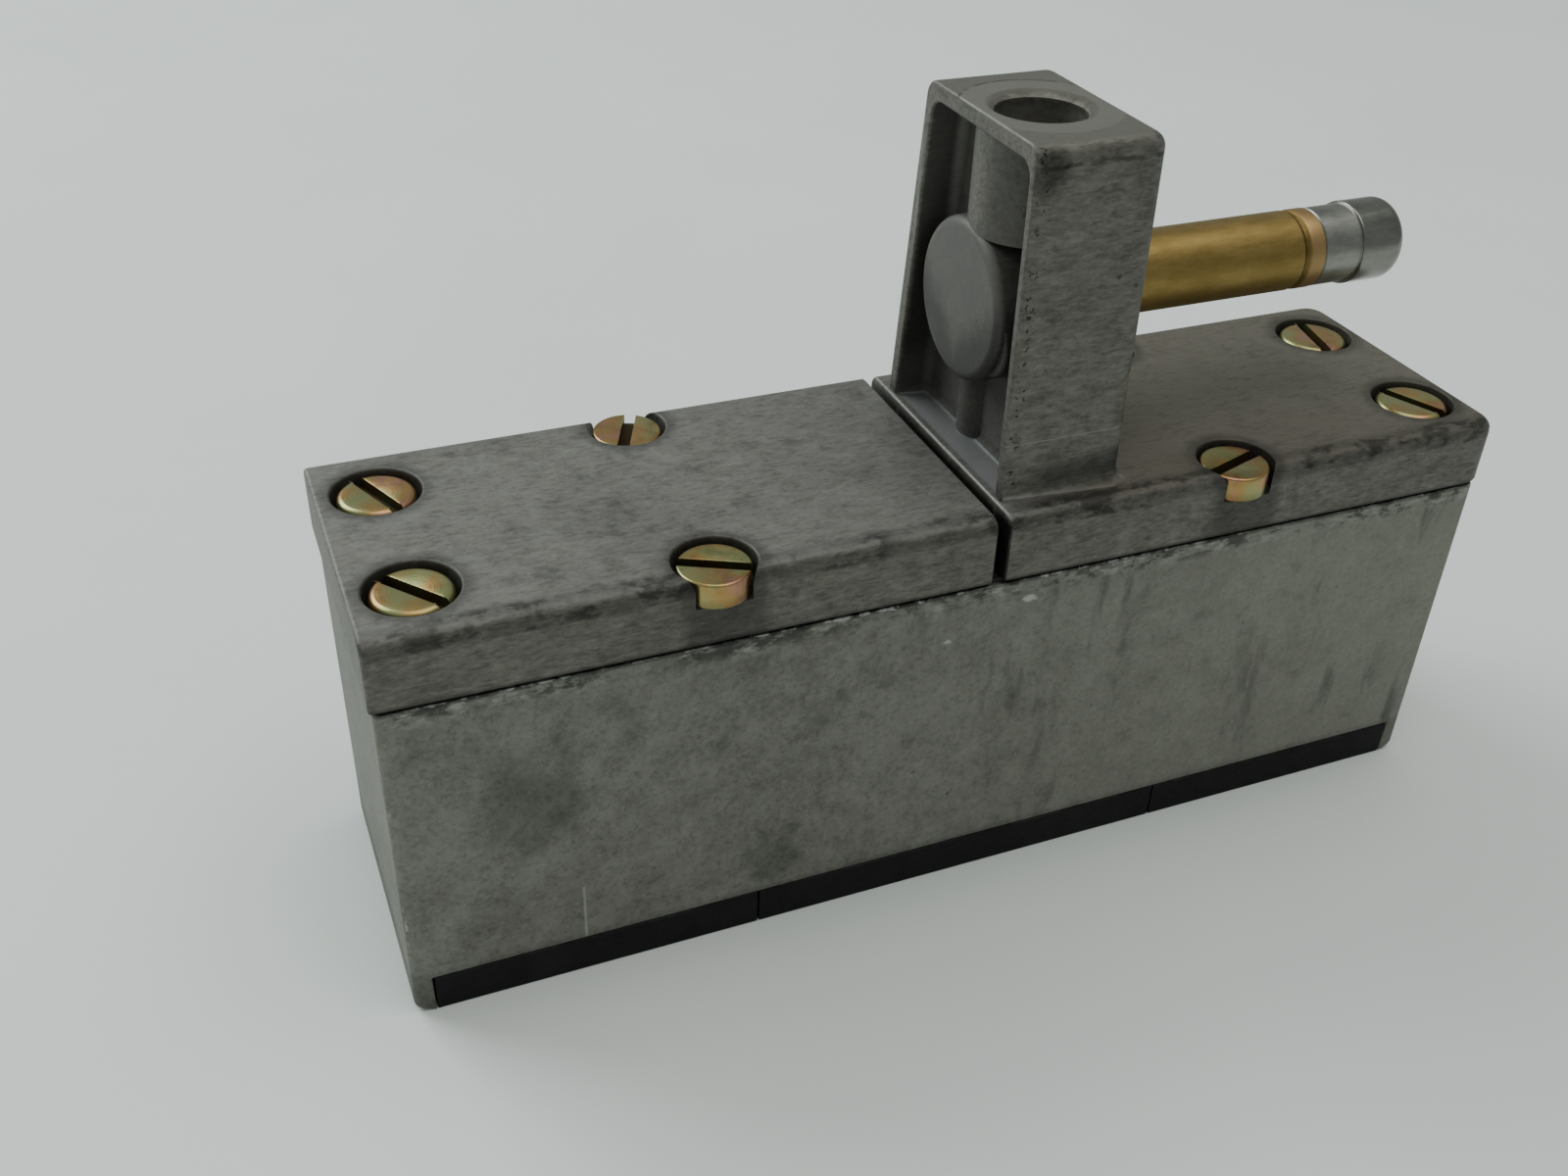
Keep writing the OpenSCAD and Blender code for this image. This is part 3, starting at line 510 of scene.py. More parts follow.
# %% Shape the tower
tower = add_block("tower", (tower_left, -front_foot, cover_z + 2 * mm), (tower_right, back_foot, tower_top))
lean_in(tower, tower_top - 1 * mm, front_foot - front_top, back_foot - back_top)


def on_tower_rim(edge):
    """True for the tower's top edges and its two upright edges at the right."""
    top = ends_at(edge, 2, tower_top) and not ends_at(edge, 0, tower_left)
    upright = ends_at(edge, 0, tower_right) and span(edge, 2) > 9 * mm
    return top or upright


round_edges(tower, tower_r, on_tower_rim, 6)

# the recess is a second leaning block, rounded at its far side, that is cut away from the first
recess_top = tower_top - wall_top
recess = add_block("recess", (tower_left - past, wall_front - front_foot, cover_z),
                   (recess_x, back_foot - wall_back, recess_top))
lean_in(recess, recess_top - 1 * mm, front_foot - front_top, back_foot - back_top)
round_edges(recess, recess_corner_r, lambda edge: ends_at(edge, 2, recess_top)
            and span(edge, 0) > 1 * mm, 4)
round_edges(recess, recess_floor_r, lambda edge: ends_at(edge, 0, recess_x)
            and not ends_at(edge, 2, cover_z), 5)
combine(tower, recess, "DIFFERENCE")
soften(tower, arris_w)

# the mould was parted low on the tower: below that line the front face stands out by a hair
for z in (seam_z, seam_z + seam_step):
    start_edit(tower, "FACE")
    bpy.ops.mesh.select_all(action="SELECT")
    bpy.ops.mesh.bisect(plane_co=(0, 0, z), plane_no=(0, 0, 1))
    end_edit()
mesh = start_edit(tower, "VERT")
for corner in mesh.verts:
    front_y = front_slope * (corner.co.z - cover_top) - front_foot
    corner.select_set(corner.co.z < seam_z + hair and corner.co.y < front_y + 5 * hair)
bmesh.update_edit_mesh(tower.data)
bpy.ops.transform.translate(value=(0, -seam_step, 0))
end_edit()

# %% [markdown]
# In the recess stand a round boss, a lobe that grows out of its side, a rib below it and the wall of the
# port. The disc and the lobe share one keyhole outline, which is worked out from two circles and then
# extruded. The rest are rods. All of them reach back into the tower's wall, so that joining them leaves
# no gap.

# %% Add the bosses in the recess
disc_y, disc_r = -0.5 * mm, 8 * mm
lobe_y, lobe_z, lobe_r = -5.8 * mm, tube_axis_z - 2.4 * mm, 3.2 * mm
rib_x, rib_y, rib_r = recess_x + 1.3 * mm, 0.9 * mm, 2.6 * mm
lobe_x = disc_x + 0.9 * mm
boss_root_x = recess_x + 1 * mm
boss_edge_r, lobe_edge_r = 1.0 * mm, 0.3 * mm
boss_bottom = tower_top - pilot_port_d - port_wall


def arc_points(centre, radius, start, end, steps):
    """Points along a round stretch, with angles in degrees, as (y, z)."""
    angles = [math.radians(start + (end - start) * i / steps) for i in range(steps + 1)]
    return [(centre[0] + radius * math.cos(a), centre[1] + radius * math.sin(a)) for a in angles]


def keyhole_outline(disc, disc_r, lobe, lobe_r):
    """A disc and a lobe in one outline: they share a straight side, and meet in a notch below it."""
    apart = math.dist(disc, lobe)
    heading = math.degrees(math.atan2(lobe[1] - disc[1], lobe[0] - disc[0])) % 360
    side = heading - math.degrees(math.acos((disc_r - lobe_r) / apart))
    notch = math.degrees(math.acos((apart ** 2 + disc_r ** 2 - lobe_r ** 2) / (2 * apart * disc_r)))
    turn = math.degrees(math.acos((apart ** 2 + lobe_r ** 2 - disc_r ** 2) / (2 * apart * lobe_r)))
    round_disc = arc_points(disc, disc_r, heading + notch - 360, side, 80)
    return round_disc + arc_points(lobe, lobe_r, side, heading + turn, 36)[:-1]


def add_outline(name, points, low_x, high_x):
    """A solid with an outline in the YZ plane: a flat ring of corners, pulled to shape and extruded."""
    bpy.ops.object.select_all(action="DESELECT")
    bpy.ops.mesh.primitive_circle_add(vertices=len(points), radius=1 * mm, fill_type="NGON")
    piece = bpy.context.active_object
    piece.name = name
    for corner, point in zip(piece.data.vertices, points):
        corner.co = (low_x, *point)
    start_edit(piece, "FACE")
    bpy.ops.mesh.select_all(action="SELECT")
    bpy.ops.mesh.extrude_region_move(TRANSFORM_OT_translate={"value": (high_x - low_x, 0, 0)})
    bpy.ops.mesh.select_all(action="SELECT")
    bpy.ops.mesh.normals_make_consistent(inside=False)
    end_edit()
    return piece


keyhole = keyhole_outline((disc_y, tube_axis_z), disc_r - 0.15 * mm, (lobe_y, lobe_z), lobe_r)
bosses = add_outline("bosses", keyhole, lobe_x, boss_root_x)
round_edges(bosses, lobe_edge_r, lambda edge: ends_at(edge, 0, lobe_x), 3)
disc = add_rod("disc", disc_r, (disc_x, disc_y, tube_axis_z), (boss_root_x, disc_y, tube_axis_z), 96)
round_edges(disc, boss_edge_r, lambda edge: ends_at(edge, 0, disc_x), 5)
rib = add_rod("rib", rib_r, (rib_x, rib_y, cover_z + 2.5 * mm), (rib_x, rib_y, tube_axis_z))
port_boss = add_rod("port_boss", pilot_port_r + port_wall, (port_x, port_y_axis, boss_bottom),
                    (port_x, port_y_axis, tower_top - 1 * mm), 96)

# %% Join the tower to its plate and round the inner corner
pilot_cover = add_plate("pilot_cover_casting", cover_low, cover_high, cover_high.x, 2.5 * mm)
soften(pilot_cover, arris_w)
combine(pilot_cover, tower, "UNION")
wall_end_x = tower_left + 0.32 * mm
outer_fillet_r, recess_fillet_r = 1.3 * mm, 0.8 * mm


def is_hollow(edge):
    """True for an inner corner between the tower and the top of the plate, right of the walls' ends."""
    return (len(edge.link_faces) == 2 and ends_at(edge, 2, cover_top)
            and edge.calc_face_angle_signed(0) < -0.5
            and min(corner.co.x for corner in edge.verts) > wall_end_x - 0.03 * mm)


def in_recess(edge):
    """True for an edge between the front and the back wall of the recess."""
    front_y = wall_front - front_foot - seam_step + 0.1 * mm
    back_y = back_foot - 0.9 * wall_back
    return all(corner.co.x < recess_x + 0.1 * mm and front_y < corner.co.y < back_y
               for corner in edge.verts)


round_edges(pilot_cover, outer_fillet_r, lambda edge: is_hollow(edge) and not in_recess(edge), 5)
round_edges(pilot_cover, recess_fillet_r, lambda edge: is_hollow(edge) and in_recess(edge), 4)
cut_pockets(pilot_cover, cover_low.x, cover_high.x)
for boss in (bosses, disc, rib, port_boss):
    combine(pilot_cover, boss, "UNION")

# %% [markdown]
# The port in the tower's roof is threaded. Rings at the thread's pitch look the same as a thread at this
# size, so one turned cutter makes the mouth, the rings and the plain bore below them. The tube sits in a
# bore of its own.

# %% Cut the threaded pilot port and the bore of the tube
port_pitch = 0.907 * mm
port_thread_d = 0.13 * mm
port_rings = 7
port_mouth_r = pilot_port_r + 0.75 * mm
mouth_depth, first_ring_depth, plain_depth = 0.6 * mm, 1.0 * mm, 7.8 * mm
lid = 0.1 * mm
port_profile = [(lid, 0), (lid, port_mouth_r), (0, port_mouth_r), (-mouth_depth, pilot_port_r)]
for i in range(port_rings):
    groove_z = -first_ring_depth - i * port_pitch
    port_profile += [(groove_z, pilot_port_r), (groove_z - port_pitch / 2, pilot_port_r + port_thread_d)]
port_profile += [(-plain_depth, pilot_port_r), (-pilot_port_d, pilot_port_r), (-pilot_port_d, 0)]
port_cutter = turn_piece("port_cutter", port_profile, (port_x, port_y_axis, tower_top), "Z")
combine(pilot_cover, port_cutter, "DIFFERENCE")
drill_screw_holes(pilot_cover, cover_low.x, cover_high.x)
tube_root_r = tube_high.z - tube_axis_z
drill(pilot_cover, tube_root_r, (tube_low.x, 0, tube_axis_z), (tower_right + past, 0, tube_axis_z), 96)
nozzle_low, nozzle_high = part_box("pilot_nozzle")
drill(pilot_cover, nozzle_high.y, (nozzle_low.x - past, 0, tube_axis_z),
      (tube_low.x + 0.1 * mm, 0, tube_axis_z), 48)
smooth(pilot_cover)
hand_over(pilot_cover, "valve", "cover_casting", "pilot_cover")

# %% [markdown]
# ## The base pads
# Three strips of black plastic lie between the feet, with the ports and the mounting holes going through
# them. Each is a block with softened edges, drilled where the body is drilled.

# %% Cut the three pads
pad_port_r = 3.5 * mm
pad_hole_r = 2.4 * mm


def add_pad(name, node):
    low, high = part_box(node)
    pad = add_block(name, low, high)
    for places, radius in ((port_places, pad_port_r), (mount_places, pad_hole_r)):
        for x, y in places:
            if low.x < x < high.x:
                drill(pad, radius, (x, y, low.z - past), (x, y, high.z + past), 48)
    soften(pad, 0.15 * mm, 2)
    smooth(pad)
    hand_over(pad, "valve", "black_pad", node)
    return pad


pads = [add_pad(side + "_pad_strip", side + "_base_pad") for side in ("left", "centre", "right")]

# %% [markdown]
# ## The slotted screws
# One screw of each size is turned, slotted and then copied. Each copy gets its own mesh and its own slot
# direction, because screws never end up in line. Where each point was on the lathe is kept in an
# attribute, so that the tool marks on the head stay round its own axis.

# %% Turn, slot and place the screws
slot_w = 1.2 * mm
slot_d = 1.1 * mm
thread_pitch = 0.7 * mm
thread_cut = 0.3 * mm
plain_l = 1 * mm
end_rim_r, side_rim_r = 0.65 * mm, 0.25 * mm


def add_screw(name, head_r, rim_r, shank_l):
    """A cheese-head screw on the world axis, with the underside of its head at height zero."""
    turns = int((shank_l - 2 * plain_l) / thread_pitch)
    thread = []
    for i in range(turns):
        crest = -plain_l - i * thread_pitch
        thread += [(crest, thread_r), (crest - thread_pitch / 2, thread_r - thread_cut)]
    profile = [(head_h, 0)] + corner_arc(head_h - rim_r, head_r - rim_r, rim_r, 0, 90)
    profile += [(0.1 * mm, head_r), (0, head_r - 0.1 * mm), (0, thread_r)] + thread
    profile += [(-shank_l + 0.5 * mm, thread_r - thread_cut), (-shank_l, thread_r - 2 * thread_cut),
                (-shank_l, 0)]
    screw = turn_piece(name, profile, (0, 0, 0), "Z", steps=64)
    slot = add_block("slot", (-head_r - past, -slot_w / 2, head_h - slot_d),
                     (head_r + past, slot_w / 2, head_h + past))
    combine(screw, slot, "DIFFERENCE")
    round_edges(screw, 0.07 * mm, lambda edge: ends_at(edge, 2, head_h)
                and abs(abs(edge.verts[0].co.y) - slot_w / 2) < hair and span(edge, 1) < hair, 2)
    turned = screw.data.attributes.new("turned", "FLOAT_VECTOR", "POINT")
    for corner, kept in zip(screw.data.vertices, turned.data):
        kept.vector = corner.co / mm
    return screw


def place_screws(pattern, name, places, angles, seat_z, node):
    """Copies a screw to each place, turned by its angle, and removes the first one."""
    made = []
    for (x, y), angle in zip(places, angles):
        side = ("left" if x < 0 else "right") + ("_front" if y < 0 else "_back")
        copy = pattern.copy()
        copy.data = pattern.data.copy()
        copy.name = f"{name}_{side}"
        bpy.context.scene.collection.objects.link(copy)
        bpy.ops.object.select_all(action="DESELECT")
        bpy.context.view_layer.objects.active = copy
        copy.select_set(True)
        copy.location = (x, y, seat_z)
        copy.rotation_euler.z = math.radians(angle)
        bpy.ops.object.transform_apply(location=True, rotation=True, scale=True)
        smooth(copy, 30)
        hand_over(copy, "valve", "zinc_yellow", node)
        made.append(copy)
    bpy.data.objects.remove(pattern)
    return made


end_angles = (-51, -67, -66, 78)
side_angles = (-26, 67, 18, 40)
end_pattern = add_screw("end_pattern", end_head_r, end_rim_r, end_seat_z - screw_low.z)
screws = place_screws(end_pattern, "end_screw", end_places, end_angles, end_seat_z, "end_screws")
side_pattern = add_screw("side_pattern", side_head_r, side_rim_r, side_seat_z - side_low.z)
screws += place_screws(side_pattern, "side_screw", side_places, side_angles, side_seat_z, "side_screws")
print(len(screws), "screws")

# %% [markdown]
# ## The brass tube and its steel end
# The armature runs in a thin brass tube. A groove near its end is rolled into the steel pole piece and
# holds it. The steel sticks out and ends in a thicker, rounded head, where a nut would hold the coil.

# %% Turn the tube and the pole piece
tube_end_x = tube_high.x
tube_r = 4.1 * mm
tube_wall = 0.45 * mm
crimp_x = tube_end_x - 2.2 * mm
crimp_d = 0.3 * mm
bore_r = tube_r - tube_wall
chamfer = 0.1 * mm
root_chamfer = 0.05 * mm
rim_chamfer = 0.12 * mm


def rolled_groove(radius, x, depth, steps=10):
    """A smooth groove in a profile: one wave of a cosine, as deep as its depth and four times as wide."""
    points = []
    for i in range(steps + 1):
        share = i / steps
        dip = depth * 0.5 * (1 - math.cos(2 * math.pi * share))
        points.append((x + (share - 0.5) * 4 * depth, radius - dip))
    return points


outside = [(tube_low.x, bore_r), (tube_low.x, tube_root_r - chamfer), (tube_low.x + chamfer, tube_root_r),
           (tower_right - root_chamfer, tube_root_r), (tower_right, tube_root_r - root_chamfer),
           (tower_right, tube_r)]
outside += rolled_groove(tube_r, crimp_x, crimp_d)
outside += [(tube_end_x - rim_chamfer, tube_r), (tube_end_x, tube_r - rim_chamfer)]
tube_profile = outside + [(tube_end_x, bore_r)] + rolled_groove(bore_r, crimp_x, crimp_d)[::-1]
brass_tube = turn_piece("brass_tube", tube_profile, (0, 0, tube_axis_z), "X", closed=True)
smooth(brass_tube, 30)
hand_over(brass_tube, "valve", "tube_brass", "guide_tube")

pole_low, pole_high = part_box("pole_piece")
tip_l = 5.7 * mm
tip_r = pole_high.z - tube_axis_z
tip_x = pole_high.x - tip_l
tip_edge_r, tip_round_r = 0.2 * mm, 1.5 * mm
neck_r = tube_r - 0.06 * mm
plug_r = bore_r - 0.03 * mm
ring_low, ring_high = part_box("shading_ring")
ring_outer = ring_high.z - tube_axis_z + 0.02 * mm
ring_inner = ring_outer - 0.35 * mm
spring_bore_r = 2.1 * mm
spring_bore_x = pole_low.x + 3 * mm
pole_profile = [(spring_bore_x, 0), (spring_bore_x, spring_bore_r), (pole_low.x, spring_bore_r),
                (pole_low.x, ring_inner), (ring_high.x, ring_inner), (ring_high.x, ring_outer),
                (pole_low.x, ring_outer), (pole_low.x, plug_r - chamfer), (pole_low.x + chamfer, plug_r)]
pole_profile += rolled_groove(plug_r, crimp_x, crimp_d * 0.97)
pole_profile += [(tube_end_x + 0.04 * mm, plug_r), (tube_end_x + 0.04 * mm, tube_r - 0.3 * mm),
                 (tube_end_x + 0.25 * mm, neck_r), (tip_x - 0.05 * mm, neck_r)]
pole_profile += corner_arc(tip_x + tip_edge_r, tip_r - tip_edge_r, tip_edge_r, 180, 90)
pole_profile += corner_arc(pole_high.x - tip_round_r, tip_r - tip_round_r, tip_round_r, 90, 0, 10)
pole_profile += [(pole_high.x, 0)]
steel_end = turn_piece("steel_end", pole_profile, (0, 0, tube_axis_z), "X")
smooth(steel_end, 30)
hand_over(steel_end, "valve", "tip_steel", "pole_piece")

# %% [markdown]
# ## The springs
# Three coil springs push the armature and the two valve stacks back. A spring is a wire wound round an
# axis, so a ring of the wire's size is swept by the Screw modifier, and its two open ends are filled.


def wind_spring(name, wire_r, turns, axis, node):
    """Winds a spring along X or Z that fills the box of its CAD node."""
    low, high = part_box(node)
    along = "XYZ".index(axis)
    mean_r = (high.y - low.y) / 2 - wire_r
    rise = high[along] - low[along] - 2 * wire_r
    start = (mean_r, 0, 0) if axis == "Z" else (0, 0, mean_r)
    bpy.ops.object.select_all(action="DESELECT")
    bpy.ops.mesh.primitive_circle_add(vertices=16, radius=wire_r, location=start,
                                      rotation=(math.pi / 2, 0, 0))
    spring = bpy.context.active_object
    spring.name = name
    bpy.ops.object.transform_apply(location=True, rotation=True, scale=True)
    winding = spring.modifiers.new("winding", "SCREW")
    winding.axis = axis
    winding.iterations = turns
    winding.screw_offset = rise / turns
    winding.steps = winding.render_steps = 36
    bpy.ops.object.modifier_apply(modifier=winding.name)
    centre = (low + high) / 2
    centre[along] = low[along] + wire_r
    spring.location = centre
    bpy.ops.object.transform_apply(location=True, rotation=False, scale=False)
    start_edit(spring, "VERT")
    bpy.ops.mesh.select_all(action="SELECT")
    bpy.ops.mesh.fill_holes(sides=0)
    bpy.ops.mesh.select_all(action="SELECT")
    bpy.ops.mesh.normals_make_consistent(inside=False)
    end_edit()
    smooth(spring, 60)
    hand_over(spring, "valve", "spring_steel", node)
    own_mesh(spring)
    return spring


springs = [wind_spring("armature_coil", 0.2 * mm, 8, "X", "armature_spring")]
for side in ("left", "right"):
    springs.append(wind_spring(side + "_return_coil", 0.3 * mm, 5, "Z",
                               side + "_return_spring"))

# %% [markdown]
# ## Finishes
# Each finish is a set of shader nodes. A node is easy to make but wordy in code, so short helpers make
# the ones that come up again: a sum, a fade, a noise, a blend of two colours. They read the piece's own
# coordinates in metres, so a blotch or a scratch has a real size.

# %% Helpers for shader nodes
def feed(tree, socket, value):
    """Links a socket to another one, or sets it to a plain value."""
    if isinstance(value, bpy.types.NodeSocket):
        tree.links.new(value, socket)
    else:
        socket.default_value = value


def calc(tree, operation, *values):
    """One step of arithmetic on numbers or sockets."""
    node = tree.nodes.new("ShaderNodeMath")
    node.operation = operation
    for socket, value in zip(node.inputs, values):
        feed(tree, socket, value)
    return node.outputs[0]


def fade(tree, value, low, high):
    """Goes smoothly from 0 at low to 1 at high. With low above high, the other way round."""
    node = tree.nodes.new("ShaderNodeMapRange")
    node.interpolation_type = "SMOOTHSTEP"
    for name, number in (("Value", value), ("From Min", low), ("From Max", high)):
        feed(tree, node.inputs[name], number)
    return node.outputs["Result"]


def both(tree, *masks):
    """The part that all masks share."""
    result = masks[0]
    for mask in masks[1:]:
        result = calc(tree, "MULTIPLY", result, mask)
    return result


def stretch(tree, place, scale, turn=(0, 0, 0)):
    """Coordinates turned by degrees and then multiplied, to draw a pattern out along an axis."""
    node = tree.nodes.new("ShaderNodeMapping")
    node.inputs["Rotation"].default_value = [math.radians(angle) for angle in turn]
    node.inputs["Scale"].default_value = scale
    feed(tree, node.inputs["Vector"], place)
    return node.outputs["Vector"]


def noise(tree, place, size, seed=0.0, detail=3.0, roughness=0.55):
    """A cloudy value around 0.5 with blotches of about the given size."""
    node = tree.nodes.new("ShaderNodeTexNoise")
    node.noise_dimensions = "4D"
    for name, number in (("Vector", place), ("W", (seed + 0.5) * size), ("Scale", 1 / size),
                         ("Detail", detail), ("Roughness", roughness)):
        feed(tree, node.inputs[name], number)
    return node.outputs["Fac"]


def blend(tree, share, below, above):
    """A colour that goes from below to above as the share goes from 0 to 1."""
    node = tree.nodes.new("ShaderNodeMix")
    node.data_type = "RGBA"
    for socket, value in ((node.inputs[0], share), (node.inputs[6], below), (node.inputs[7], above)):
        feed(tree, socket, (*value, 1) if isinstance(value, tuple) else value)
    return node.outputs[2]


def tint(tree, colour, share, amount, shade):
    """Brings a colour nearer to a shade, by up to an amount where the share is 1."""
    return blend(tree, calc(tree, "MULTIPLY", share, amount), colour, shade)


def darken(tree, colour, share, amount):
    """Takes away up to an amount of a colour's brightness where the share is 1."""
    factor = calc(tree, "SUBTRACT", 1.0, calc(tree, "MULTIPLY", share, amount))
    node = tree.nodes.new("ShaderNodeVectorMath")
    node.operation = "SCALE"
    feed(tree, node.inputs[0], colour)
    feed(tree, node.inputs["Scale"], factor)
    return node.outputs[0]


def axes(tree, place):
    node = tree.nodes.new("ShaderNodeSeparateXYZ")
    feed(tree, node.inputs[0], place)
    return node.outputs


def away(tree, value, middle):
    """How far a value is from a middle."""
    return calc(tree, "ABSOLUTE", calc(tree, "SUBTRACT", value, middle))


def reach(tree, first, second, middle=(0, 0)):
    """Distance in a plane from a middle to a point with two coordinates."""
    offsets = [calc(tree, "SUBTRACT", value, centre) for value, centre in zip((first, second), middle)]
    squares = [calc(tree, "MULTIPLY", offset, offset) for offset in offsets]
    return calc(tree, "SQRT", calc(tree, "ADD", *squares))


def band(tree, value, low, high, soft):
    """1 between two values, with soft ends."""
    return both(tree, fade(tree, value, low - soft, low), fade(tree, value, high + soft, high))


def start_finish(name, **plain):
    """A material with its shader's plain values set, its node tree and its object coordinates."""
    material = bpy.data.materials.new(name)
    material.use_nodes = True
    tree = material.node_tree
    shader = tree.nodes["Principled BSDF"]
    for socket, value in plain.items():
        shader.inputs[socket.replace("_", " ")].default_value = value
    return material, tree, shader, tree.nodes.new("ShaderNodeTexCoord").outputs["Object"]


def set_roughness(tree, shader, least, value, amount):
    """Roughness that goes up from its least by an amount where the value is 1."""
    feed(tree, shader.inputs["Roughness"], calc(tree, "ADD", least, calc(tree, "MULTIPLY", value, amount)))


def raise_surface(tree, shader, height, depth):
    """Bumps a surface by a height that goes from 0 to 1, at its real depth."""
    node = tree.nodes.new("ShaderNodeBump")
    node.inputs["Distance"].default_value = depth
    feed(tree, node.inputs["Height"], height)
    tree.links.new(node.outputs["Normal"], shader.inputs["Normal"])


# %% [markdown]
# ### Effects that several finishes share
# A node group is a node of one's own. Three effects come up on more than one metal here: the wear along
# edges, the cloudy and pitted skin of a casting, and the fine lines that sanding or drawing leaves. Each
# is a group, and each material places it with its own numbers.

# %% The three groups
def start_group(name, inputs, outputs):
    group = bpy.data.node_groups.new(name, "ShaderNodeTree")
    for label in inputs:
        kind = "NodeSocketVector" if label in ("Place", "Low", "High") else "NodeSocketFloat"
        group.interface.new_socket(label, in_out="INPUT", socket_type=kind)
    for label in outputs:
        group.interface.new_socket(label, in_out="OUTPUT", socket_type="NodeSocketFloat")
    return group, group.nodes.new("NodeGroupInput").outputs, group.nodes.new("NodeGroupOutput").inputs


def place_group(tree, group, **values):
    node = tree.nodes.new("ShaderNodeGroup")
    node.node_tree = group
    for label, value in values.items():
        feed(tree, node.inputs[label], value)
    return node.outputs


def make_edge_wear():
    """A broken mask of what is rubbed within reach of the nearest edge of a box."""
    group, given, result = start_group("edge_wear", ("Place", "Low", "High", "Reach"), ("Wear",))
    place, low, high = (axes(group, given[label]) for label in ("Place", "Low", "High"))
    a, b, c = (calc(group, "MINIMUM", calc(group, "SUBTRACT", place[i], low[i]),
                    calc(group, "SUBTRACT", high[i], place[i])) for i in range(3))
    larger = calc(group, "MINIMUM", calc(group, "MAXIMUM", a, b), c)
    distance = calc(group, "MAXIMUM", calc(group, "MINIMUM", a, b), larger)
    coarse = noise(group, given["Place"], 5 * mm, 3.0, 2.0)
    fine = noise(group, given["Place"], 1.1 * mm, 4.0, 3.0)
    uneven = calc(group, "ADD", calc(group, "MULTIPLY", coarse, 1.6), calc(group, "MULTIPLY", fine, 1.2))
    share = calc(group, "ADD", calc(group, "DIVIDE", distance, given["Reach"]), uneven)
    feed(group, result["Wear"], fade(group, share, 1.95, 1.35))
    return group


def make_cast_skin():
    """The skin of an old casting: broad clouds, mottling, grain, and a few small pits."""
    group, given, result = start_group("cast_skin", ("Place",), ("Cloud", "Mottle", "Grain", "Pits"))
    feed(group, result["Cloud"], noise(group, given["Place"], 11 * mm, 1.0, 3.0))
    feed(group, result["Mottle"], noise(group, given["Place"], 2.6 * mm, 2.0, 5.0, 0.62))
    feed(group, result["Grain"], noise(group, given["Place"], 0.42 * mm, 3.0, 2.0, 0.7))
    cells = group.nodes.new("ShaderNodeTexVoronoi")
    feed(group, cells.inputs["Vector"], given["Place"])
    cells.inputs["Scale"].default_value = 1 / (2.3 * mm)
    some = fade(group, axes(group, cells.outputs["Color"])[0], 0.62, 0.64)
    feed(group, result["Pits"], both(group, fade(group, cells.outputs["Distance"], 0.14, 0.07), some))
    return group


def make_fine_lines():
    """Lines along X that sanding or drawing leaves, in two widths."""
    group, given, result = start_group("fine_lines", ("Place", "Width"), ("Lines",))
    across = calc(group, "DIVIDE", 1.0, given["Width"])
    scaled = group.nodes.new("ShaderNodeVectorMath")
    scaled.operation = "SCALE"
    feed(group, scaled.inputs[0], given["Place"])
    feed(group, scaled.inputs["Scale"], across)
    thin = noise(group, stretch(group, scaled.outputs[0], (0.2, 1, 1)), 1.0, 5.0, 2.0)
    broad = noise(group, stretch(group, scaled.outputs[0], (0.12, 0.35, 0.35)), 1.0, 6.0, 2.0)
    feed(group, result["Lines"], calc(group, "MULTIPLY", calc(group, "ADD", thin, broad), 0.5))
    return group


edge_wear = make_edge_wear()
cast_skin = make_cast_skin()
fine_lines = make_fine_lines()
print("groups:", edge_wear.name, cast_skin.name, fine_lines.name)

# %% [markdown]
# ### The old casting of the body
# The body was never finished after casting. Its skin is dull, warm grey and cloudy, with darker smears
# that run down to the left, a rubbed and chipped band just under the covers, and a few bright nicks where
# the bare metal shows.

# %% The body's casting
smudges = (((-46 * mm, 24 * mm), 7.5 * mm, 11 * mm, 0.36), ((-22 * mm, 10 * mm), 4 * mm, 14 * mm, 0.3))
chip_places = ((-4.6 * mm, 31.6 * mm), (4.2 * mm, 34.9 * mm))
chip_r, chip_narrow = 0.5 * mm, 0.55


def spot(tree, first, second, middle, radius, ragged, noise_value):
    """A blotch round a middle, with a ragged outline."""
    distance = calc(tree, "ADD", reach(tree, first, second, middle),
                    calc(tree, "MULTIPLY", calc(tree, "SUBTRACT", noise_value, 0.5), ragged))
    return fade(tree, distance, radius, 0.35 * radius)


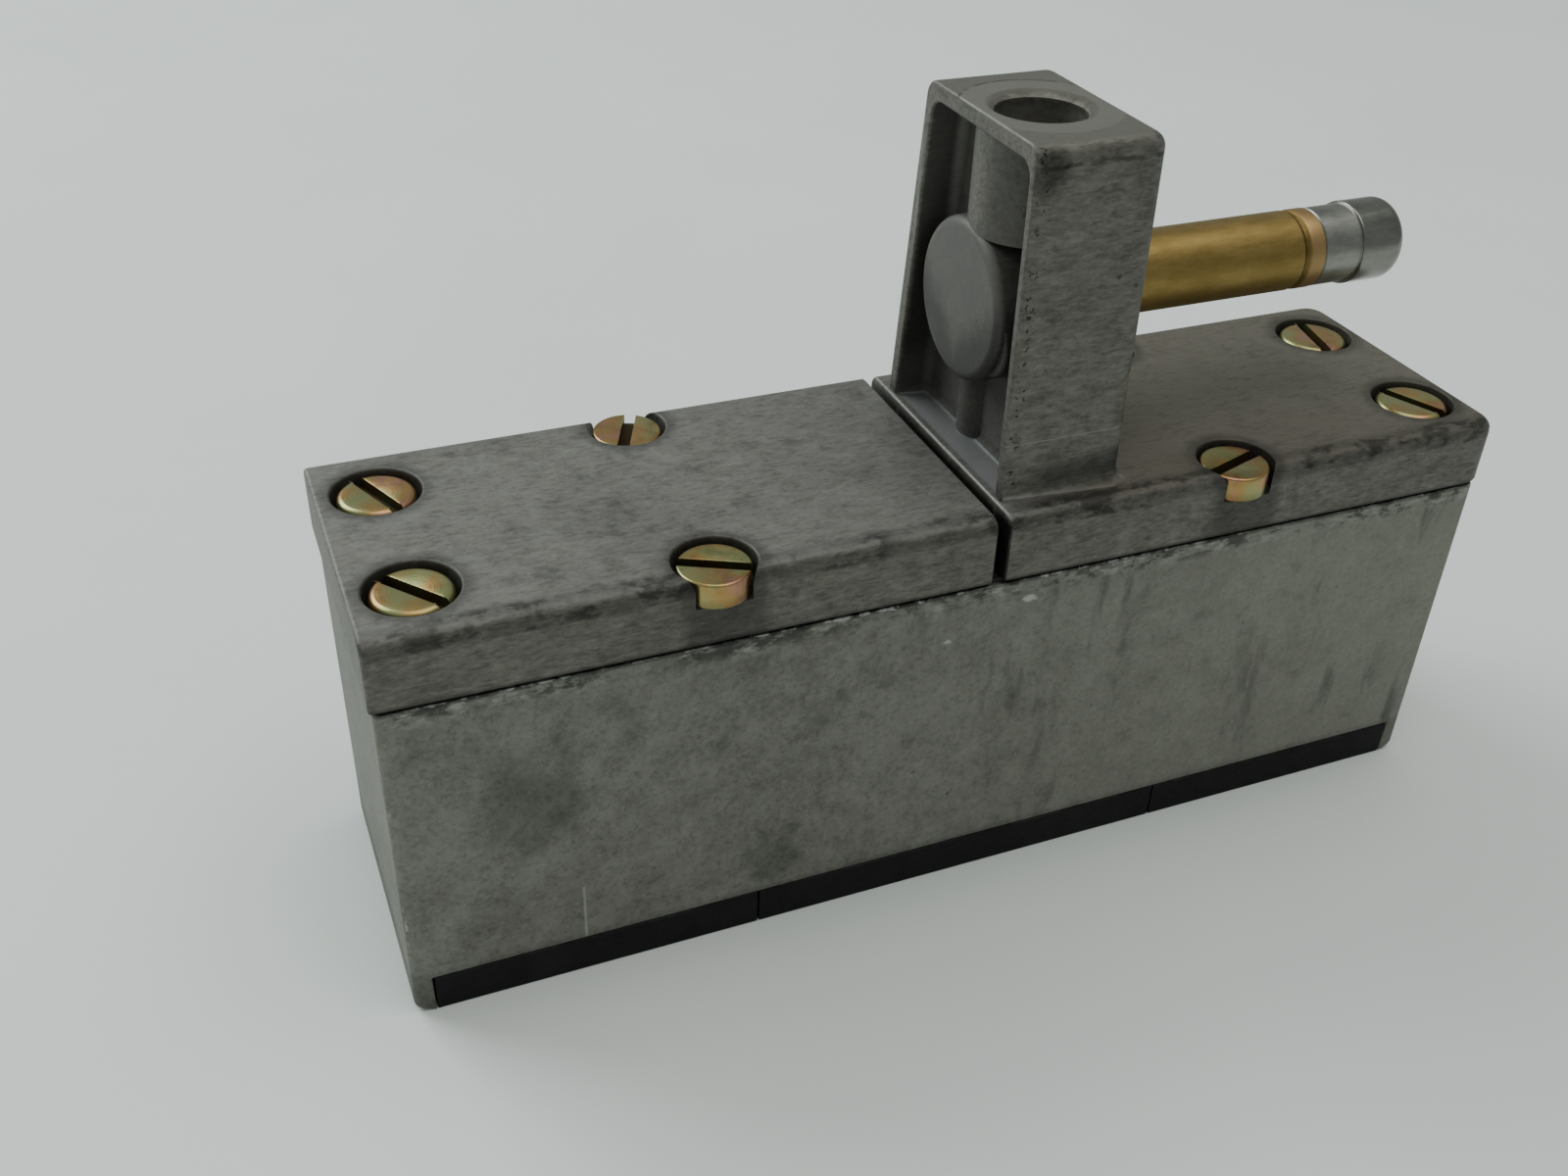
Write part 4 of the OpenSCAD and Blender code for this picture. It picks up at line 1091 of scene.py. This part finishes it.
def make_body_finish():
    material, tree, shader, place = start_finish("cast_body", Metallic=0.55)
    x, y, z = axes(tree, place)
    skin = place_group(tree, cast_skin, Place=place)
    wear = place_group(tree, edge_wear, Place=place, Low=body_low, High=body_high, Reach=0.55 * mm)
    colour = blend(tree, fade(tree, skin["Cloud"], 0.3, 0.7), (0.150, 0.148, 0.128), (0.195, 0.193, 0.168))
    colour = tint(tree, colour, fade(tree, skin["Mottle"], 0.42, 0.7), 0.7, (0.245, 0.244, 0.214))
    colour = darken(tree, colour, fade(tree, skin["Grain"], 0.52, 0.3), 0.2)
    fine = noise(tree, place, 0.55 * mm, 21.0, 3.0, 0.6)
    colour = darken(tree, colour, fade(tree, fine, 0.5, 0.34), 0.2)
    colour = tint(tree, colour, fade(tree, fine, 0.5, 0.68), 0.25, (0.28, 0.28, 0.25))
    right = fade(tree, x, -20 * mm, 50 * mm)
    colour = tint(tree, colour, right, 0.35, (0.29, 0.29, 0.245))
    colour = darken(tree, colour, fade(tree, skin["Mottle"], 0.46, 0.28), 0.26)
    slanted = noise(tree, stretch(tree, place, (1, 1, 0.22), (0, 32, 0)), 3.2 * mm, 7.0, 4.0)
    smears = both(tree, fade(tree, slanted, 0.55, 0.72), fade(tree, x, -35 * mm, 5 * mm))
    colour = darken(tree, colour, smears, 0.42)
    ragged = noise(tree, place, 3.5 * mm, 8.0, 4.0)
    for middle, radius, spread, amount in smudges:
        colour = darken(tree, colour, spot(tree, x, z, middle, radius, spread, ragged), amount)
    under_cover = fade(tree, z, body_high.z - 2.6 * mm, body_high.z - 0.9 * mm)
    chips = noise(tree, stretch(tree, place, (0.6, 1, 1.2)), 1.3 * mm, 9.0, 4.0, 0.65)
    patches = noise(tree, place, 9 * mm, 10.0, 2.0)
    rubbed = both(tree, under_cover, fade(tree, patches, 0.36, 0.5))
    colour = darken(tree, colour, both(tree, rubbed, fade(tree, chips, 0.5, 0.58)), 0.62)
    colour = blend(tree, both(tree, rubbed, fade(tree, chips, 0.46, 0.38)), colour, (0.29, 0.29, 0.265))
    # painted shade: the feet and the lowest 1.3 mm of the body, next to the pads, are darker
    colour = darken(tree, colour, fade(tree, z, pad_top + 1.3 * mm, pad_top - 0.1 * mm), 0.3)
    colour = darken(tree, colour, both(tree, skin["Pits"], fade(tree, skin["Cloud"], 0.5, 0.6)), 0.45)
    # painted shadow: a thin band along the body's top edge, under the covers' rims
    colour = darken(tree, colour, fade(tree, z, body_high.z - 0.5 * mm, body_high.z - 0.25 * mm), 0.45)
    nicks = noise(tree, place, 1.2 * mm, 11.0, 3.0)
    colour = darken(tree, colour, both(tree, wear["Wear"], fade(tree, nicks, 0.5, 0.56)), 0.6)
    scratch = both(tree, band(tree, x, -42.3 * mm, -42.15 * mm, 0.12 * mm),
                   band(tree, z, 4.8 * mm, 11 * mm, 0.6 * mm))
    bright = both(tree, wear["Wear"], fade(tree, nicks, 0.5, 0.42))
    front = fade(tree, y, body_low.y + 0.4 * mm, body_low.y + 0.2 * mm)
    for chip_x, chip_z in chip_places:
        chip = spot(tree, calc(tree, "MULTIPLY", x, chip_narrow), z, (chip_narrow * chip_x, chip_z),
                    chip_r, 1.6 * mm, chips)
        bright = calc(tree, "MAXIMUM", bright, both(tree, front, chip))
    bright = calc(tree, "MAXIMUM", bright, both(tree, front, calc(tree, "MULTIPLY", scratch, 0.5)))
    colour = tint(tree, colour, bright, 0.7, (0.46, 0.46, 0.44))
    feed(tree, shader.inputs["Base Color"], colour)
    roughness = calc(tree, "ADD", 0.46, calc(tree, "MULTIPLY", skin["Mottle"], 0.28))
    roughness = calc(tree, "SUBTRACT", roughness, calc(tree, "MULTIPLY", bright, 0.2))
    feed(tree, shader.inputs["Roughness"], roughness)
    height = calc(tree, "ADD", calc(tree, "MULTIPLY", skin["Grain"], 0.5), skin["Mottle"])
    height = calc(tree, "SUBTRACT", height, calc(tree, "MULTIPLY", skin["Pits"], 0.6))
    height = calc(tree, "SUBTRACT", height, both(tree, rubbed, fade(tree, chips, 0.5, 0.56)))
    raise_surface(tree, shader, height, 0.07 * mm)
    return material


body_finish = make_body_finish()
print("finish:", body_finish.name)

# %% [markdown]
# ### The sanded castings of the covers
# The covers and the tower were sanded, so fine lines run along them. Dirt has stayed where a cloth
# doesn't reach: round the screws and along the rounded front edges. Painted shade darkens the gap between
# the covers, their lower rims and the tower's recess. Painted light lifts the recess's back wall, the
# disc's face and the port's wall, and a painted highlight runs along the pilot plate's left edge.

# %% The covers' casting
def make_cover_finish():
    material, tree, shader, place = start_finish("sanded_cover", Metallic=0.6)
    x, y, z = axes(tree, place)
    skin = place_group(tree, cast_skin, Place=place)
    lines = place_group(tree, fine_lines, Place=place, Width=0.22 * mm)["Lines"]
    on_tower = fade(tree, z, cover_top + 1.2 * mm, cover_top + 1.8 * mm)
    on_top = both(tree, fade(tree, z, cover_top - 0.5 * mm, cover_top - 0.15 * mm),
                  fade(tree, z, cover_top + 0.6 * mm, cover_top + 0.2 * mm))
    colour = blend(tree, fade(tree, lines, 0.36, 0.62), (0.114, 0.107, 0.093), (0.170, 0.161, 0.141))
    colour = blend(tree, both(tree, on_top, fade(tree, lines, 0.2, 0.62)), colour, (0.186, 0.183, 0.170))
    colour = darken(tree, colour, fade(tree, skin["Cloud"], 0.55, 0.3), 0.15)
    colour = darken(tree, colour, fade(tree, skin["Mottle"], 0.48, 0.3), 0.3)
    fine = noise(tree, stretch(tree, place, (0.4, 1, 1)), 0.42 * mm, 21.0, 3.0, 0.65)
    colour = darken(tree, colour, fade(tree, fine, 0.5, 0.34), 0.22)
    colour = darken(tree, colour, fade(tree, skin["Grain"], 0.5, 0.3), 0.14)
    colour = tint(tree, colour, fade(tree, fine, 0.52, 0.7), 0.3, (0.25, 0.25, 0.23))
    colour = tint(tree, colour, fade(tree, skin["Mottle"], 0.55, 0.72), 0.3, (0.26, 0.26, 0.24))
    pilot_plate = both(tree, on_top, fade(tree, x, 4 * mm, 14 * mm))
    colour = tint(tree, colour, pilot_plate, 0.75, (0.134, 0.121, 0.095))
    colour = darken(tree, colour, both(tree, pilot_plate, fade(tree, lines, 0.5, 0.36)), 0.2)

    # dirt round the screw heads and on the rounded front edge; painted shade in the gap between the covers
    # and along their lower rims
    right_x, front_y = calc(tree, "ABSOLUTE", x), calc(tree, "ABSOLUTE", y)
    ragged = noise(tree, place, 1.6 * mm, 12.0, 4.0)
    plate = fade(tree, z, cover_top + 1.4 * mm, cover_top + 0.9 * mm)
    for middle, pocket_r in (((end_screw_x, end_screw_y), end_pocket_r),
                             ((side_screw_x, side_screw_y), side_pocket_r)):
        distance = reach(tree, right_x, front_y, middle)
        ring = fade(tree, calc(tree, "ADD", distance, calc(tree, "MULTIPLY", ragged, 1.6 * mm)),
                    pocket_r + 2.6 * mm, pocket_r + 0.9 * mm)
        colour = darken(tree, colour, both(tree, plate, ring), 0.45)
    blotches = noise(tree, stretch(tree, place, (0.55, 1, 1)), 1.9 * mm, 13.0, 4.0, 0.62)
    patches = noise(tree, place, 12 * mm, 14.0, 2.0)
    rounded_edge = both(tree, plate, band(tree, y, -half_w, 1.6 * mm - half_w, 1.2 * mm),
                        band(tree, z, cover_top - 1.4 * mm, cover_top + 0.05 * mm, 0.5 * mm))
    smudge = both(tree, rounded_edge, fade(tree, blotches, 0.48, 0.6), fade(tree, patches, 0.36, 0.5))
    colour = darken(tree, colour, rounded_edge, 0.25)
    colour = darken(tree, colour, smudge, 0.62)
    # painted shade in the gap between the covers
    gap_shade = both(tree, plate, band(tree, x, blank_high.x - 0.12 * mm, cover_low.x + 0.12 * mm, 0.15 * mm),
               fade(tree, z, cover_top - 0.35 * mm, cover_top - 1.2 * mm))
    colour = darken(tree, colour, gap_shade, 0.85)
    # painted shadow along the lower rim of each cover, at the joint with the body
    low_rim_shade = both(tree, plate, fade(tree, z, cover_z + 0.6 * mm, cover_z + 0.15 * mm))
    colour = darken(tree, colour, low_rim_shade, 0.6)

    # the tower: dirt in its upper left corner, along its top edge and at its foot, and specks at its left
    at_front = fade(tree, y, 0.85 * mm - front_top, 0.55 * mm - front_top)
    front = both(tree, on_tower, at_front)
    corner = spot(tree, x, z, (tower_left + 1.6 * mm, tower_top - 2.1 * mm), 2.4 * mm, 3.2 * mm, ragged)
    line_z = calc(tree, "ADD", z, calc(tree, "MULTIPLY", calc(tree, "SUBTRACT", ragged, 0.5), 1.0 * mm))
    top_line = both(tree, band(tree, line_z, tower_top - 1.9 * mm, tower_top - 1.75 * mm, 0.35 * mm),
                    fade(tree, blotches, 0.38, 0.55))
    foot_z = calc(tree, "SUBTRACT", z, calc(tree, "MULTIPLY", x, 0.08))
    foot = both(tree, band(tree, foot_z, cover_top + 0.9 * mm, cover_top + 1.6 * mm, 1.9 * mm),
                fade(tree, x, tower_left + 1 * mm, tower_left + 6 * mm))
    colour = darken(tree, colour, both(tree, front, corner), 0.62)
    colour = darken(tree, colour, both(tree, front, top_line), 0.55)
    colour = darken(tree, colour, both(tree, at_front, foot), 0.5)
    speck_noise = noise(tree, place, 0.5 * mm, 15.0, 2.0)
    specks = both(tree, front, fade(tree, speck_noise, 0.58, 0.64),
                  band(tree, x, tower_left + 0.5 * mm, tower_left + 1.3 * mm, 0.35 * mm))
    colour = darken(tree, colour, specks, 0.75)
    colour = darken(tree, colour, both(tree, on_tower, skin["Pits"]), 0.5)
    parting = both(tree, front, band(tree, z, seam_z + 0.02 * mm, seam_z + 0.1 * mm, 0.06 * mm))
    colour = tint(tree, colour, parting, 0.6, (0.24, 0.23, 0.21))

    # the top of the tower is rubbed, with the ring that a fitting has left round the port
    tower_roof = fade(tree, z, tower_top - 0.3 * mm, tower_top - 0.1 * mm)
    roof_lines = both(tree, tower_roof, fade(tree, lines, 0.2, 0.56))
    colour = blend(tree, roof_lines, colour, (0.140, 0.137, 0.119))
    port_distance = reach(tree, x, y, (port_x, port_y_axis))
    ring = both(tree, tower_roof, band(tree, port_distance, 7.55 * mm, 7.65 * mm, 0.18 * mm),
                fade(tree, blotches, 0.4, 0.5), fade(tree, y, -3 * mm, -1 * mm))
    colour = darken(tree, colour, ring, 0.6)
    rub = both(tree, tower_roof, band(tree, port_distance, 5.3 * mm, 7.3 * mm, 0.4 * mm))
    colour = tint(tree, colour, rub, 0.25, (0.26, 0.26, 0.24))

    # the recess: painted shade on its walls and below the boss, painted light on its back wall, on the
    # wall of the port and on the disc's face, and a lighter grey floor
    rise = calc(tree, "SUBTRACT", z, cover_top)
    front_lean, back_lean = (calc(tree, "MULTIPLY", rise, slope) for slope in (front_slope, back_slope))
    from_front = calc(tree, "SUBTRACT", calc(tree, "ADD", y, front_foot), front_lean)
    from_back = calc(tree, "SUBTRACT", back_foot, calc(tree, "ADD", y, back_lean))
    between_walls = both(tree, fade(tree, from_front, wall_front - 0.25 * mm, wall_front - 0.1 * mm),
                         fade(tree, from_back, wall_back - 0.25 * mm, wall_back - 0.1 * mm),
                         fade(tree, x, recess_x + 0.6 * mm, recess_x + 0.3 * mm),
                         fade(tree, x, tower_left + 0.25 * mm, tower_left + 0.7 * mm),
                         fade(tree, z, recess_top + 0.1 * mm, recess_top - 0.1 * mm))
    in_walls = both(tree, between_walls, fade(tree, z, cover_top + 0.05 * mm, cover_top + 0.2 * mm))
    on_floor = both(tree, between_walls, fade(tree, z, cover_top + 0.2 * mm, cover_top + 0.05 * mm))
    colour = tint(tree, colour, on_floor, 0.8, (0.27, 0.27, 0.28))
    # painted shade on the walls of the recess
    colour = tint(tree, colour, in_walls, 0.5, (0.095, 0.093, 0.09))
    # painted bounce light on the back wall of the recess, lifting part of the painted shade
    back_wall_light = both(tree, in_walls, fade(tree, from_back, wall_back + 3 * mm, wall_back + 0.8 * mm))
    colour = tint(tree, colour, back_wall_light, 0.4, (0.15, 0.148, 0.135))
    from_disc = reach(tree, y, z, (disc_y, tube_axis_z))
    boss_face = both(tree, fade(tree, x, disc_x + 0.75 * mm, disc_x + 0.3 * mm),
                     fade(tree, from_disc, disc_r + 0.2 * mm, disc_r - 0.2 * mm))
    # painted light on the disc's face, in mottled patches
    lit_disc_face = both(tree, boss_face, fade(tree, skin["Mottle"], 0.2, 0.6))
    colour = blend(tree, lit_disc_face, colour, (0.120, 0.117, 0.111))
    # painted shade under the disc and down the lower recess, with a ragged upper edge
    under_z = calc(tree, "SUBTRACT", z, calc(tree, "MULTIPLY", away(tree, y, -0.6 * mm), 0.9))
    under_z = calc(tree, "ADD", under_z, calc(tree, "MULTIPLY", ragged, 4 * mm))
    shade_under_boss = both(tree, calc(tree, "MAXIMUM", between_walls, boss_face),
                      fade(tree, under_z, tube_axis_z - 0.5 * mm, tube_axis_z - 5 * mm),
                      fade(tree, z, tube_axis_z - 12.5 * mm, tube_axis_z - 8 * mm))
    colour = darken(tree, colour, shade_under_boss, 0.45)
    # painted light on the wall of the port, down to its floor
    port_floor_z = tower_top - pilot_port_d
    port_bore_light = both(tree, fade(tree, port_distance, pilot_port_r + 0.6 * mm, pilot_port_r + 0.45 * mm),
                     fade(tree, z, tower_top - 0.3 * mm, tower_top - 2.5 * mm),
                     fade(tree, z, port_floor_z - 0.5 * mm, port_floor_z - 0.1 * mm))
    colour = tint(tree, colour, port_bore_light, 0.6, (0.24, 0.23, 0.21))

    # edges: each cover has its own box, and the tower leans in its box
    pilot_box = cover_low, Vector((cover_high.x, cover_high.y, cover_top))
    tower_box = (Vector((tower_left, 0.4 * mm - front_foot, cover_z)),
                 Vector((tower_right, back_top + 0.1 * mm, tower_top)))
    bright = None
    for low, high in ((blank_low, blank_high), pilot_box, tower_box):
        wear = place_group(tree, edge_wear, Place=place, Low=low, High=high, Reach=0.35 * mm)
        in_box = both(tree, *(fade(tree, away(tree, value, (low[i] + high[i]) / 2),
                                   (high[i] - low[i]) / 2 + 0.6 * mm, (high[i] - low[i]) / 2 + 0.3 * mm)
                              for i, value in enumerate((x, y, z))))
        rubbed = both(tree, wear["Wear"], in_box)
        bright = rubbed if bright is None else calc(tree, "MAXIMUM", bright, rubbed)
    # painted highlight along the left top edge of the pilot plate, by the gap
    sill_highlight = both(tree, plate, band(tree, x, cover_low.x - 0.1 * mm, cover_low.x + 0.28 * mm, 0.05 * mm),
                fade(tree, z, cover_top - 0.5 * mm, cover_top - 0.2 * mm))
    # worn edges and the painted sill highlight are mixed towards light grey
    bright = calc(tree, "MAXIMUM", calc(tree, "MULTIPLY", bright, 0.16), calc(tree, "MULTIPLY", sill_highlight, 0.1))
    colour = blend(tree, bright, colour, (0.42, 0.42, 0.41))
    feed(tree, shader.inputs["Base Color"], colour)
    roughness = calc(tree, "ADD", 0.46, calc(tree, "MULTIPLY", skin["Mottle"], 0.22))
    roughness = calc(tree, "SUBTRACT", roughness, calc(tree, "MULTIPLY", bright, 0.15))
    foot_fillet = both(tree, in_walls, fade(tree, z, cover_top + 1.1 * mm, cover_top + 0.8 * mm))
    roughness = calc(tree, "ADD", roughness, calc(tree, "MULTIPLY", foot_fillet, 0.35))
    feed(tree, shader.inputs["Roughness"], roughness)
    height = calc(tree, "ADD", calc(tree, "MULTIPLY", lines, 0.9),
                  calc(tree, "MULTIPLY", skin["Mottle"], 0.6))
    height = calc(tree, "SUBTRACT", height, calc(tree, "MULTIPLY", skin["Pits"], 0.5))
    raise_surface(tree, shader, height, 0.045 * mm)
    return material


cover_finish = make_cover_finish()
print("finish:", cover_finish.name)

# %% [markdown]
# ### Black pads and rubber
# The pads are matt black with dust in their grain and rubbed grey along their edges. The gasket and the
# seals are plainer, softer black.

# %% Pads and rubber
def make_pad_finish():
    material, tree, shader, place = start_finish("black_pad", Metallic=0.0, Specular_IOR_Level=0.2)
    skin = place_group(tree, cast_skin, Place=place)
    wear = place_group(tree, edge_wear, Place=place, Low=(-1, body_low.y, 0),
                       High=(1, body_high.y, pad_top), Reach=0.4 * mm)
    colour = blend(tree, fade(tree, skin["Mottle"], 0.3, 0.7), (0.0025, 0.0025, 0.0025),
                   (0.006, 0.006, 0.006))
    dust = fade(tree, skin["Cloud"], 0.5, 0.8)
    colour = tint(tree, colour, dust, 0.25, (0.04, 0.04, 0.037))
    colour = tint(tree, colour, wear["Wear"], 0.4, (0.05, 0.05, 0.05))
    feed(tree, shader.inputs["Base Color"], colour)
    set_roughness(tree, shader, 0.55, skin["Grain"], 0.25)
    raise_surface(tree, shader, skin["Grain"], 0.05 * mm)
    return material


def make_rubber_finish():
    material, tree, shader, place = start_finish("rubber", Metallic=0.0, Specular_IOR_Level=0.4)
    skin = place_group(tree, cast_skin, Place=place)
    feed(tree, shader.inputs["Base Color"],
         blend(tree, fade(tree, skin["Mottle"], 0.3, 0.7), (0.006, 0.006, 0.006), (0.022, 0.021, 0.020)))
    set_roughness(tree, shader, 0.6, skin["Grain"], 0.2)
    raise_surface(tree, shader, skin["Grain"], 0.02 * mm)
    return material


pad_finish = make_pad_finish()
rubber_finish = make_rubber_finish()
print("finishes:", pad_finish.name, rubber_finish.name)

# %% [markdown]
# ### Yellow zinc on the screws
# Zinc with a yellow passivation is a thin film, so its colour drifts between gold, pink and green. A slow
# noise moves the colour along that range. The marks of the lathe are rings about each screw's own axis,
# which is what the "turned" attribute is for. The slots are drawn much darker, and the lower side of each
# head, down in its pocket, gets painted shade.

# %% The screws' finish
def make_screw_finish():
    material, tree, shader, place = start_finish("yellow_zinc", Metallic=0.9)
    local = tree.nodes.new("ShaderNodeAttribute")
    local.attribute_name = "turned"
    x, y, z = axes(tree, local.outputs["Vector"])
    skin = place_group(tree, cast_skin, Place=place)
    radius = reach(tree, x, y)
    rings_at = tree.nodes.new("ShaderNodeCombineXYZ")
    feed(tree, rings_at.inputs[0], radius)
    feed(tree, rings_at.inputs[2], calc(tree, "MULTIPLY", z, 0.8))
    rings = noise(tree, rings_at.outputs[0], 0.12, 16.0, 2.0)
    film = noise(tree, place, 4.5 * mm, 17.0, 2.0)
    colour = blend(tree, fade(tree, film, 0.42, 0.6), (0.40, 0.24, 0.085), (0.33, 0.33, 0.15))
    colour = tint(tree, colour, fade(tree, film, 0.47, 0.38), 0.8, (0.44, 0.24, 0.16))
    colour = darken(tree, colour, fade(tree, skin["Mottle"], 0.5, 0.3), 0.3)
    colour = darken(tree, colour, fade(tree, rings, 0.5, 0.3), 0.2)
    head_low, head_top = 0.1, head_h / mm
    half_slot = slot_w / 2 / mm
    # the slots are drawn much darker
    in_slot = both(tree, fade(tree, calc(tree, "ABSOLUTE", y), half_slot + 0.05, half_slot - 0.02),
                   band(tree, z, head_top - slot_d / mm - 0.1, head_top - 0.12, 0.08))
    colour = darken(tree, colour, in_slot, 0.86)
    # painted shade on the lower side of each head, down in its pocket
    low_wall_shade = both(tree, fade(tree, radius, 3.3, 3.45), fade(tree, z, head_low + 1.2, head_low))
    colour = darken(tree, colour, low_wall_shade, 0.35)
    shank = fade(tree, z, 0.0, -0.3)
    colour = darken(tree, colour, shank, 0.3)
    feed(tree, shader.inputs["Base Color"], colour)
    rough = calc(tree, "ADD", 0.22, calc(tree, "MULTIPLY", skin["Mottle"], 0.18))
    feed(tree, shader.inputs["Roughness"], calc(tree, "ADD", rough, calc(tree, "MULTIPLY", in_slot, 0.3)))
    raise_surface(tree, shader, rings, 0.02 * mm)
    return material


screw_finish = make_screw_finish()
print("finish:", screw_finish.name)

# %% [markdown]
# ### Drawn brass and turned steel
# The tube is drawn, so its lines run along it, and it has tarnished in soft patches. The steel is turned:
# its thicker head is darker and shinier than the shank.

# %% The tube's and the steel's finish
def make_tube_finish():
    material, tree, shader, place = start_finish("drawn_brass", Metallic=1.0)
    x = axes(tree, place)[0]
    skin = place_group(tree, cast_skin, Place=place)
    lines = place_group(tree, fine_lines, Place=place, Width=0.3 * mm)["Lines"]
    colour = blend(tree, fade(tree, lines, 0.35, 0.65), (0.25, 0.172, 0.055), (0.32, 0.225, 0.08))
    tarnish = fade(tree, noise(tree, place, 6 * mm, 18.0, 3.0), 0.48, 0.66)
    colour = tint(tree, colour, tarnish, 0.45, (0.22, 0.15, 0.045))
    past_groove = fade(tree, x, crimp_x + 0.2 * mm, crimp_x + 0.6 * mm)
    colour = tint(tree, colour, past_groove, 0.6, (0.42, 0.27, 0.14))
    # painted shade in the rolled groove
    groove_shade = fade(tree, away(tree, x, crimp_x), 0.6 * mm, 0.1 * mm)
    colour = darken(tree, colour, groove_shade, 0.35)
    # painted shadow on the tube where it leaves the tower
    colour = darken(tree, colour, fade(tree, x, tower_right + 1.5 * mm, tower_right), 0.35)
    feed(tree, shader.inputs["Base Color"], colour)
    set_roughness(tree, shader, 0.36, skin["Mottle"], 0.2)
    raise_surface(tree, shader, lines, 0.012 * mm)
    return material


def make_steel_finish():
    material, tree, shader, place = start_finish("turned_steel", Metallic=1.0)
    x = axes(tree, place)[0]
    skin = place_group(tree, cast_skin, Place=place)
    lines = place_group(tree, fine_lines, Place=place, Width=0.35 * mm)["Lines"]
    head = fade(tree, x, tip_x - 0.1 * mm, tip_x + 0.1 * mm)
    colour = blend(tree, fade(tree, lines, 0.35, 0.65), (0.24, 0.24, 0.215), (0.30, 0.30, 0.275))
    colour = darken(tree, colour, fade(tree, skin["Mottle"], 0.52, 0.34), 0.15)
    colour = darken(tree, colour, head, 0.2)
    feed(tree, shader.inputs["Base Color"], colour)
    rough = calc(tree, "ADD", 0.30, calc(tree, "MULTIPLY", skin["Mottle"], 0.16))
    rough = calc(tree, "SUBTRACT", rough, calc(tree, "MULTIPLY", head, 0.16))
    feed(tree, shader.inputs["Roughness"], rough)
    raise_surface(tree, shader, lines, 0.012 * mm)
    return material


tube_finish = make_tube_finish()
steel_finish = make_steel_finish()
print("finishes:", tube_finish.name, steel_finish.name)

# %% [markdown]
# ### Finishes inside the valve
# The pieces inside are machined and clean. They are seen when the valve is taken apart, so each metal
# still has its own colour and the marks of the tool that made it.

# %% Inner metals
def make_inner_metal(name, colour, dark, roughness):
    """A clean machined metal: fine tool marks, a little unevenness in its colour and its gloss."""
    material, tree, shader, place = start_finish(name, Metallic=1.0)
    skin = place_group(tree, cast_skin, Place=place)
    marks = noise(tree, stretch(tree, place, (0.15, 0.15, 1)), 0.15 * mm, 19.0, 2.0)
    tone = blend(tree, fade(tree, skin["Mottle"], 0.3, 0.7), dark, colour)
    feed(tree, shader.inputs["Base Color"], darken(tree, tone, fade(tree, marks, 0.5, 0.3), 0.15))
    set_roughness(tree, shader, roughness, marks, 0.15)
    raise_surface(tree, shader, marks, 0.01 * mm)
    return material


inner_finishes = {
    "copper": make_inner_metal("copper", (0.72, 0.36, 0.20), (0.55, 0.25, 0.13), 0.25),
    "spring_steel": make_inner_metal("spring_steel", (0.50, 0.50, 0.51), (0.38, 0.38, 0.39), 0.22),
    "turned_brass": make_inner_metal("turned_brass", (0.72, 0.52, 0.20), (0.60, 0.41, 0.15), 0.22),
    "turned_alloy": make_inner_metal("turned_alloy", (0.68, 0.68, 0.68), (0.55, 0.55, 0.56), 0.28),
}
print("finishes:", ", ".join(inner_finishes))

# %% [markdown]
# ### Putting the finishes on
# The record names a slot for each piece, and each slot has one finish here. The CAD pieces keep their
# meshes and only get a material. The modelled pieces take the finish of the slot that they were handed
# over with.

# %% Give every piece its finish
finishes = {"body_casting": body_finish, "cover_casting": cover_finish, "black_pad": pad_finish,
            "rubber": rubber_finish, "zinc_yellow": screw_finish, "tube_brass": tube_finish,
            "tip_steel": steel_finish, **inner_finishes}


def put_on(piece, finish):
    if not piece.material_slots:
        piece.data.materials.append(finish)
    for slot in piece.material_slots:
        slot.material = finish


for subpart in frame["record"]["subparts"]:
    put_on(frame["nodes"][subpart["node"]], finishes[subpart["material_slot"]])
for pieces, finish in (([body], body_finish), ([blank_cover, pilot_cover], cover_finish), (pads, pad_finish),
                       (screws, screw_finish), ([brass_tube], tube_finish), ([steel_end], steel_finish),
                       (springs, inner_finishes["spring_steel"])):
    for piece in pieces:
        put_on(piece, finish)
print(len(frame["nodes"]), "CAD pieces and the modelled ones have their finish")

# %% [markdown]
# ## The floor
# The valve stands on a pale, painted surface that runs out of the picture. It is almost one colour, with
# the slightest clouds.

# %% Lay the floor
bpy.ops.object.select_all(action="DESELECT")
bpy.ops.mesh.primitive_plane_add(size=4)
floor = bpy.context.active_object
floor.name = "floor"
floor_finish, tree, shader, place = start_finish("pale_paint", Metallic=0.0, Specular_IOR_Level=0.3)
clouds = noise(tree, place, 60 * mm, 20.0, 3.0)
feed(tree, shader.inputs["Base Color"], blend(tree, fade(tree, clouds, 0.3, 0.7), (0.755, 0.80, 0.78),
                                              (0.785, 0.825, 0.805)))
set_roughness(tree, shader, 0.55, clouds, 0.1)
put_on(floor, floor_finish)
print("floor laid")
